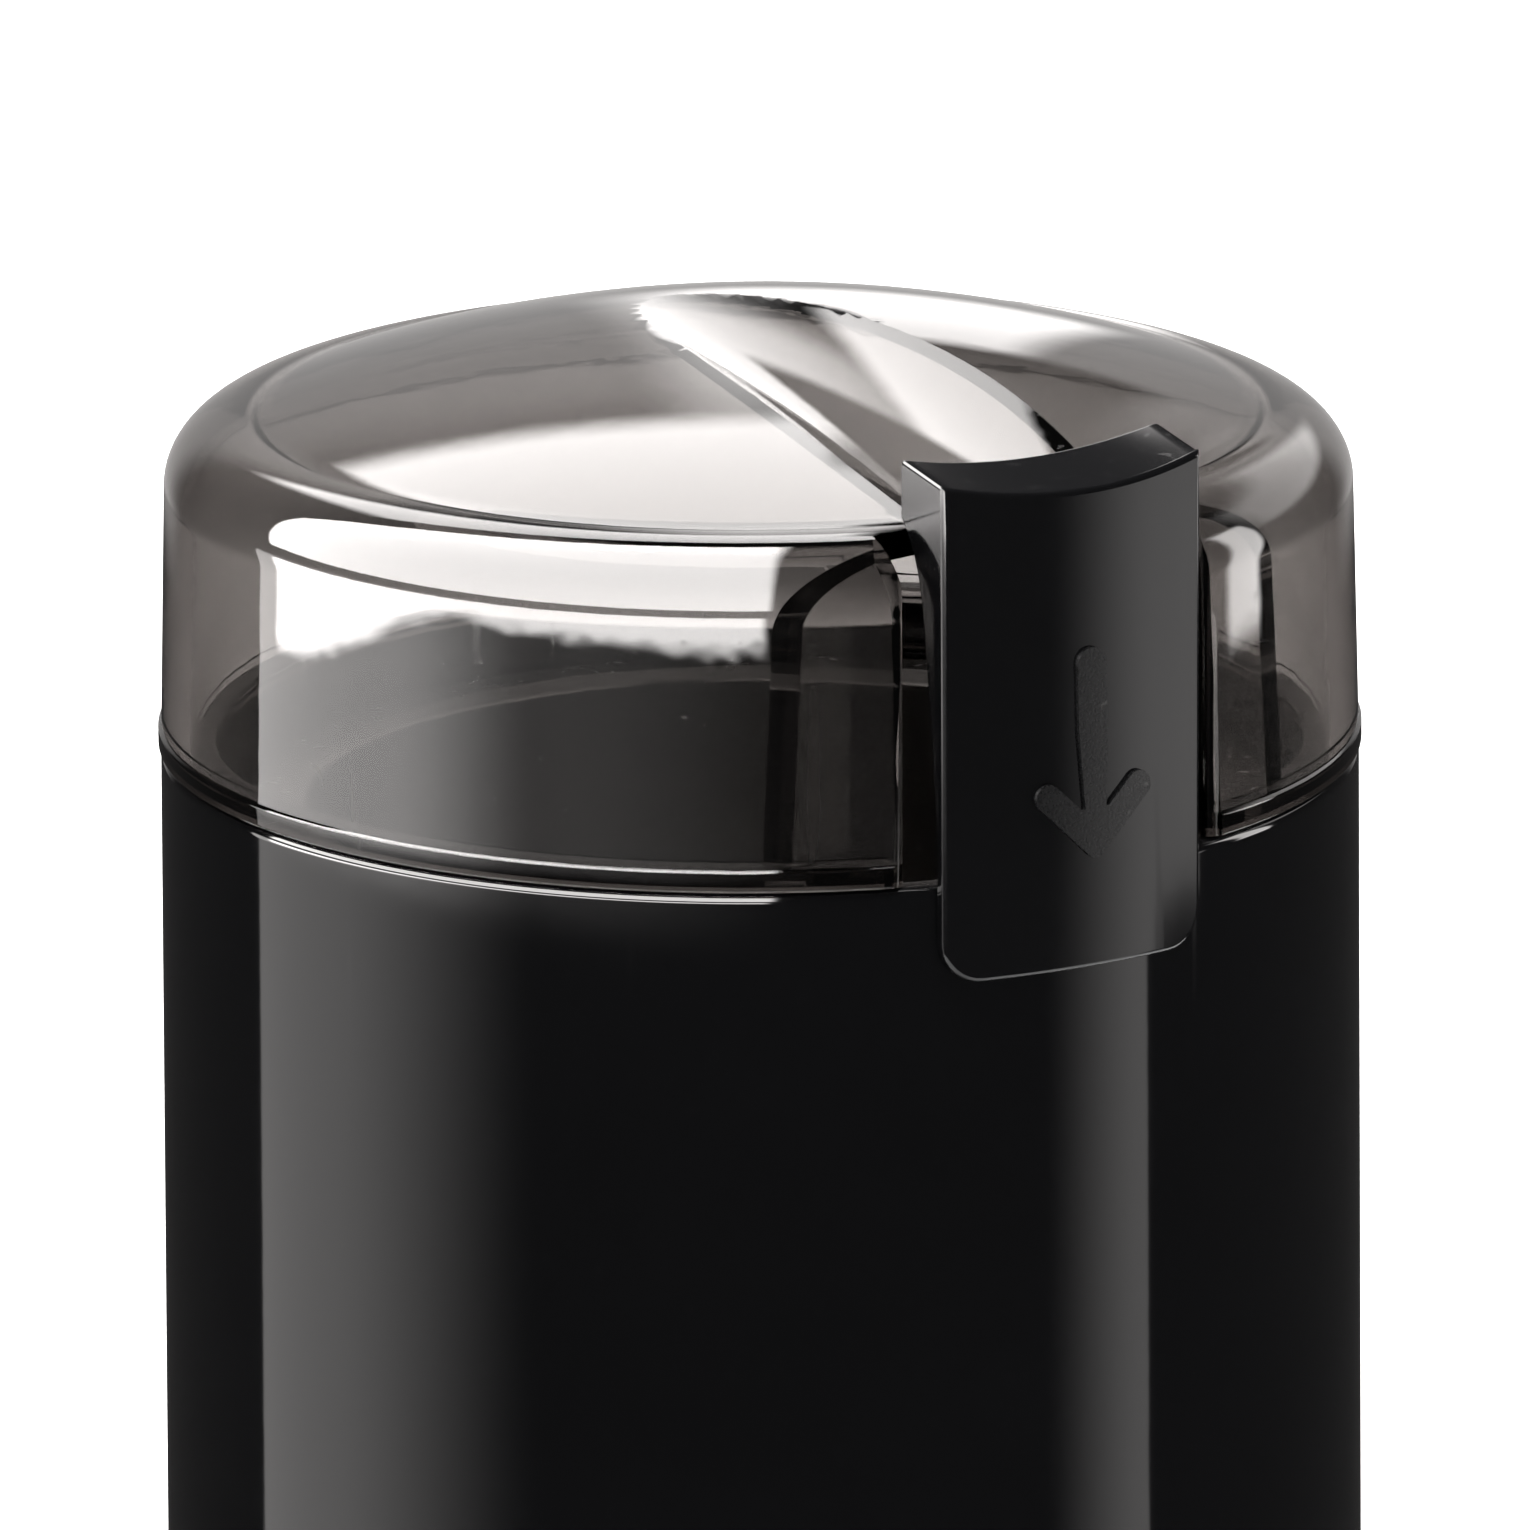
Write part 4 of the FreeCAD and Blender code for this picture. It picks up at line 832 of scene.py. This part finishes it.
def tent_finish():
    """Dark tent with white panels, placed by what the photograph's gloss shows."""
    finish = bpy.data.materials.new("studio_tent")
    finish.use_nodes = True
    tree = finish.node_tree
    tree.nodes.remove(tree.nodes["Principled BSDF"])
    place = tree.nodes.new("ShaderNodeTexCoord").outputs["Object"]
    z = put(tree, "SeparateXYZ", {"Vector": place}).outputs["Z"]
    from_lid = put(tree, "VectorMath", {0: place, 1: (0, 0, tent_middle)}, operation="SUBTRACT")
    facing = put(tree, "VectorRotate", {"Vector": from_lid.outputs[0],
                                        "Angle": math.radians(-view_azimuth)},
                 rotation_type="Z_AXIS")
    unit = put(tree, "VectorMath", {0: facing.outputs[0]}, operation="NORMALIZE")
    apart = put(tree, "SeparateXYZ", {"Vector": unit.outputs[0]})
    across, away, up = (apart.outputs[axis] for axis in "XYZ")
    near = reckon(tree, "MULTIPLY", away, -1.0)
    angle = reckon(tree, "MULTIPLY", reckon(tree, "ARCTAN2", across, near), 180 / math.pi)

    # Left: one card for the body below, and a brighter one with a soft side for the lid's wall.
    beside_body = scaled(tree, ramp(tree, angle, -38.0, -82.0), 1.6)
    beside_lid = reckon(tree, "ADD", scaled(tree, ramp(tree, angle, -38.0, -68.0), 3.9),
                        scaled(tree, ramp(tree, angle, 8.0, -34.0), 0.6))
    left = reckon(tree, "ADD", scaled(tree, beside_body, ramp(tree, z, 0.094, 0.087)),
                  scaled(tree, beside_lid, ramp(tree, z, 0.087, 0.094)))
    left = scaled(tree, left, ramp(tree, angle, -101.8, -101.2), ramp(tree, z, 0.16, 0.15))

    # Shelf: a bright strip over a sloping sill, for the band round the lid's shoulder.
    sill = reckon(tree, "ADD", scaled(tree, ramp(tree, angle, -50.0, -95.0), -0.010), 0.119)
    over_sill = reckon(tree, "SUBTRACT", z, sill)
    shelf = scaled(tree, ramp(tree, over_sill, 0.0, 0.002), ramp(tree, z, 0.152, 0.148),
                   ramp(tree, angle, -97.0, -95.0), ramp(tree, angle, 2.0, 0.0), 17.0)

    # Overhead and behind: the sheets that the dome and the trough reflect, with a gap between.
    slope = reckon(tree, "ADD", reckon(tree, "MULTIPLY", up, 0.42), 0.08)
    short = reckon(tree, "SUBTRACT", reckon(tree, "MINIMUM", slope, 0.33), away)
    overhead = scaled(tree, ramp(tree, across, 0.05, 0.02), ramp(tree, short, 0.0, 0.02),
                      ramp(tree, up, 0.165, 0.19), 17.0)
    gap = scaled(tree, ramp(tree, across, 0.06, 0.10), ramp(tree, across, 0.34, 0.28),
                 ramp(tree, up, 0.33, 0.38), ramp(tree, up, 0.80, 0.76))
    open_share = reckon(tree, "SUBTRACT", 1.0, gap)
    behind = scaled(tree, ramp(tree, away, 0.45, 0.48), ramp(tree, away, 0.76, 0.70),
                    ramp(tree, up, 0.30, 0.36), ramp(tree, across, -0.5, -0.42),
                    ramp(tree, across, 0.24, 0.18), open_share, 6.8)
    haze = scaled(tree, ramp(tree, away, 0.70, 0.86), ramp(tree, z, 0.100, 0.115),
                  ramp(tree, up, 0.70, 0.55), open_share, 0.55)
    door = scaled(tree, ramp(tree, away, 0.60, 0.70), ramp(tree, across, -0.12, 0.0),
                  ramp(tree, across, 0.22, 0.17), ramp(tree, z, 0.150, 0.175),
                  ramp(tree, up, 0.72, 0.64), open_share, 2.3)

    # Right: a narrow post and a sheet for the lid, and a card for the body's thin right band.
    post = scaled(tree, ramp(tree, angle, 91.0, 94.0), ramp(tree, angle, 103.0, 101.0),
                  ramp(tree, z, 0.108, 0.112), ramp(tree, up, 0.42, 0.36), 7.0)
    beside = scaled(tree, ramp(tree, across, 0.36, 0.46), ramp(tree, away, 0.15, 0.35),
                    ramp(tree, up, 0.20, 0.30), ramp(tree, up, 0.62, 0.50), 1.6)
    card_end = reckon(tree, "ADD", scaled(tree, ramp(tree, z, 0.084, 0.086), 12.5), 71.2)
    inside_end = ramp(tree, reckon(tree, "SUBTRACT", card_end, angle), 0.0, 0.5)
    right = scaled(tree, ramp(tree, angle, 49.0, 71.0), inside_end, ramp(tree, z, 0.135, 0.125),
                   1.5)

    base = 0.035
    strength = reckon(tree, "ADD", left, shelf, overhead, behind, haze, door, post, beside, right,
                      base)
    glow = put(tree, "Emission", {"Color": (1.0, 0.972, 0.96, 1), "Strength": strength})
    tree.links.new(glow.outputs[0], tree.nodes["Material Output"].inputs["Surface"])
    return finish


tent_outline = [(tent_radius, 0.0005), (tent_radius, 0.05), (tent_radius, 0.1)]
tent_outline += [(tent_radius * math.cos(math.pi / 2 * k / 24),
                  tent_middle + tent_radius * math.sin(math.pi / 2 * k / 24)) for k in range(25)]
tent_mesh = bmesh.new()
strip = [tent_mesh.verts.new((r, 0, z)) for r, z in tent_outline]
chain = [tent_mesh.edges.new(pair) for pair in zip(strip, strip[1:])]
bmesh.ops.spin(tent_mesh, geom=strip + chain, cent=(0, 0, 0), axis=(0, 0, 1), angle=math.tau,
               steps=180, use_merge=True)
bmesh.ops.remove_doubles(tent_mesh, verts=tent_mesh.verts, dist=1e-6)
tent = stage_piece(tent_mesh, "tent", tent_finish())
tent.visible_camera = False
tent.visible_diffuse = False
tent.visible_transmission = False
tent.visible_shadow = False
tent.visible_volume_scatter = False


def soft_lamp(name, azimuth, elevation, distance, size, energy):
    """Oblong soft lamp placed by its direction from the camera's side and pointed at the lid."""
    lamp = bpy.data.lights.new(name, "AREA")
    lamp.shape = "RECTANGLE"
    lamp.size, lamp.size_y = size
    lamp.energy = energy
    made = bpy.data.objects.new(name, lamp)
    turn = math.radians(azimuth + view_azimuth)
    up = math.radians(elevation)
    out = Vector((math.sin(turn) * math.cos(up), -math.cos(turn) * math.cos(up), math.sin(up)))
    made.location = Vector((0, 0, 0.13)) + out * distance
    made.rotation_euler = out.to_track_quat("Z", "Y").to_euler()
    made.visible_camera = False
    made.visible_glossy = False
    made.visible_transmission = False
    bpy.context.scene.collection.objects.link(made)
    return made


soft_lamp("softbox_back", 180, 55, 1.0, (0.85, 0.8), 26.0)
soft_lamp("softbox_top", -20, 80, 1.1, (0.6, 0.6), 8.0)

world = bpy.data.worlds.new("studio")
bpy.context.scene.world = world
world.use_nodes = True
surround = world.node_tree
backdrop = surround.nodes["Background"]
backdrop.inputs["Color"].default_value = (1, 1, 1, 1)
rays = surround.nodes.new("ShaderNodeLightPath")
seen = reckon(surround, "MAXIMUM", rays.outputs["Is Camera Ray"], rays.outputs["Is Glossy Ray"])
towards = surround.nodes.new("ShaderNodeTexCoord").outputs["Generated"]
height = put(surround, "SeparateXYZ", {"Vector": towards}).outputs["Z"]
plain_level = 0.40
by_height = put(surround, "MapRange", {"Value": height, "From Min": 0.20, "From Max": 0.45,
                                       "To Min": 1.0 - plain_level, "To Max": -0.30})
through = reckon(surround, "MULTIPLY", rays.outputs["Is Transmission Ray"], by_height.outputs[0])
direct = reckon(surround, "MULTIPLY", seen, 1.0 - plain_level)
surround.links.new(reckon(surround, "ADD", direct, through, plain_level),
                   backdrop.inputs["Strength"])

scene = bpy.context.scene
scene.view_settings.view_transform = "Standard"
lens = bpy.data.cameras.new("camera")
camera = bpy.data.objects.new("camera", lens)
scene.collection.objects.link(camera)
scene.camera = camera
lens.sensor_width = 36.0
lens.lens = 374.8
lens.clip_start = 0.05
lens.clip_end = 50.0
turn, drop, roll = math.radians(-view_azimuth), math.radians(14.937), math.radians(0.328)
ahead = Vector((math.sin(turn), math.cos(turn), 0))
level_right = Vector((math.cos(turn), -math.sin(turn), 0))
look = ahead * math.cos(drop) - Vector((0, 0, math.sin(drop)))
level_up = ahead * math.sin(drop) + Vector((0, 0, math.cos(drop)))
eye = Vector((0, 0, rim_top / 1000)) + 0.000365 * level_right - 0.002184 * level_up - 1.2 * look
right = math.cos(roll) * level_right - math.sin(roll) * level_up
above = math.sin(roll) * level_right + math.cos(roll) * level_up
camera.matrix_world = Matrix.Translation(eye) @ Matrix((right, above, -look)).transposed().to_4x4()
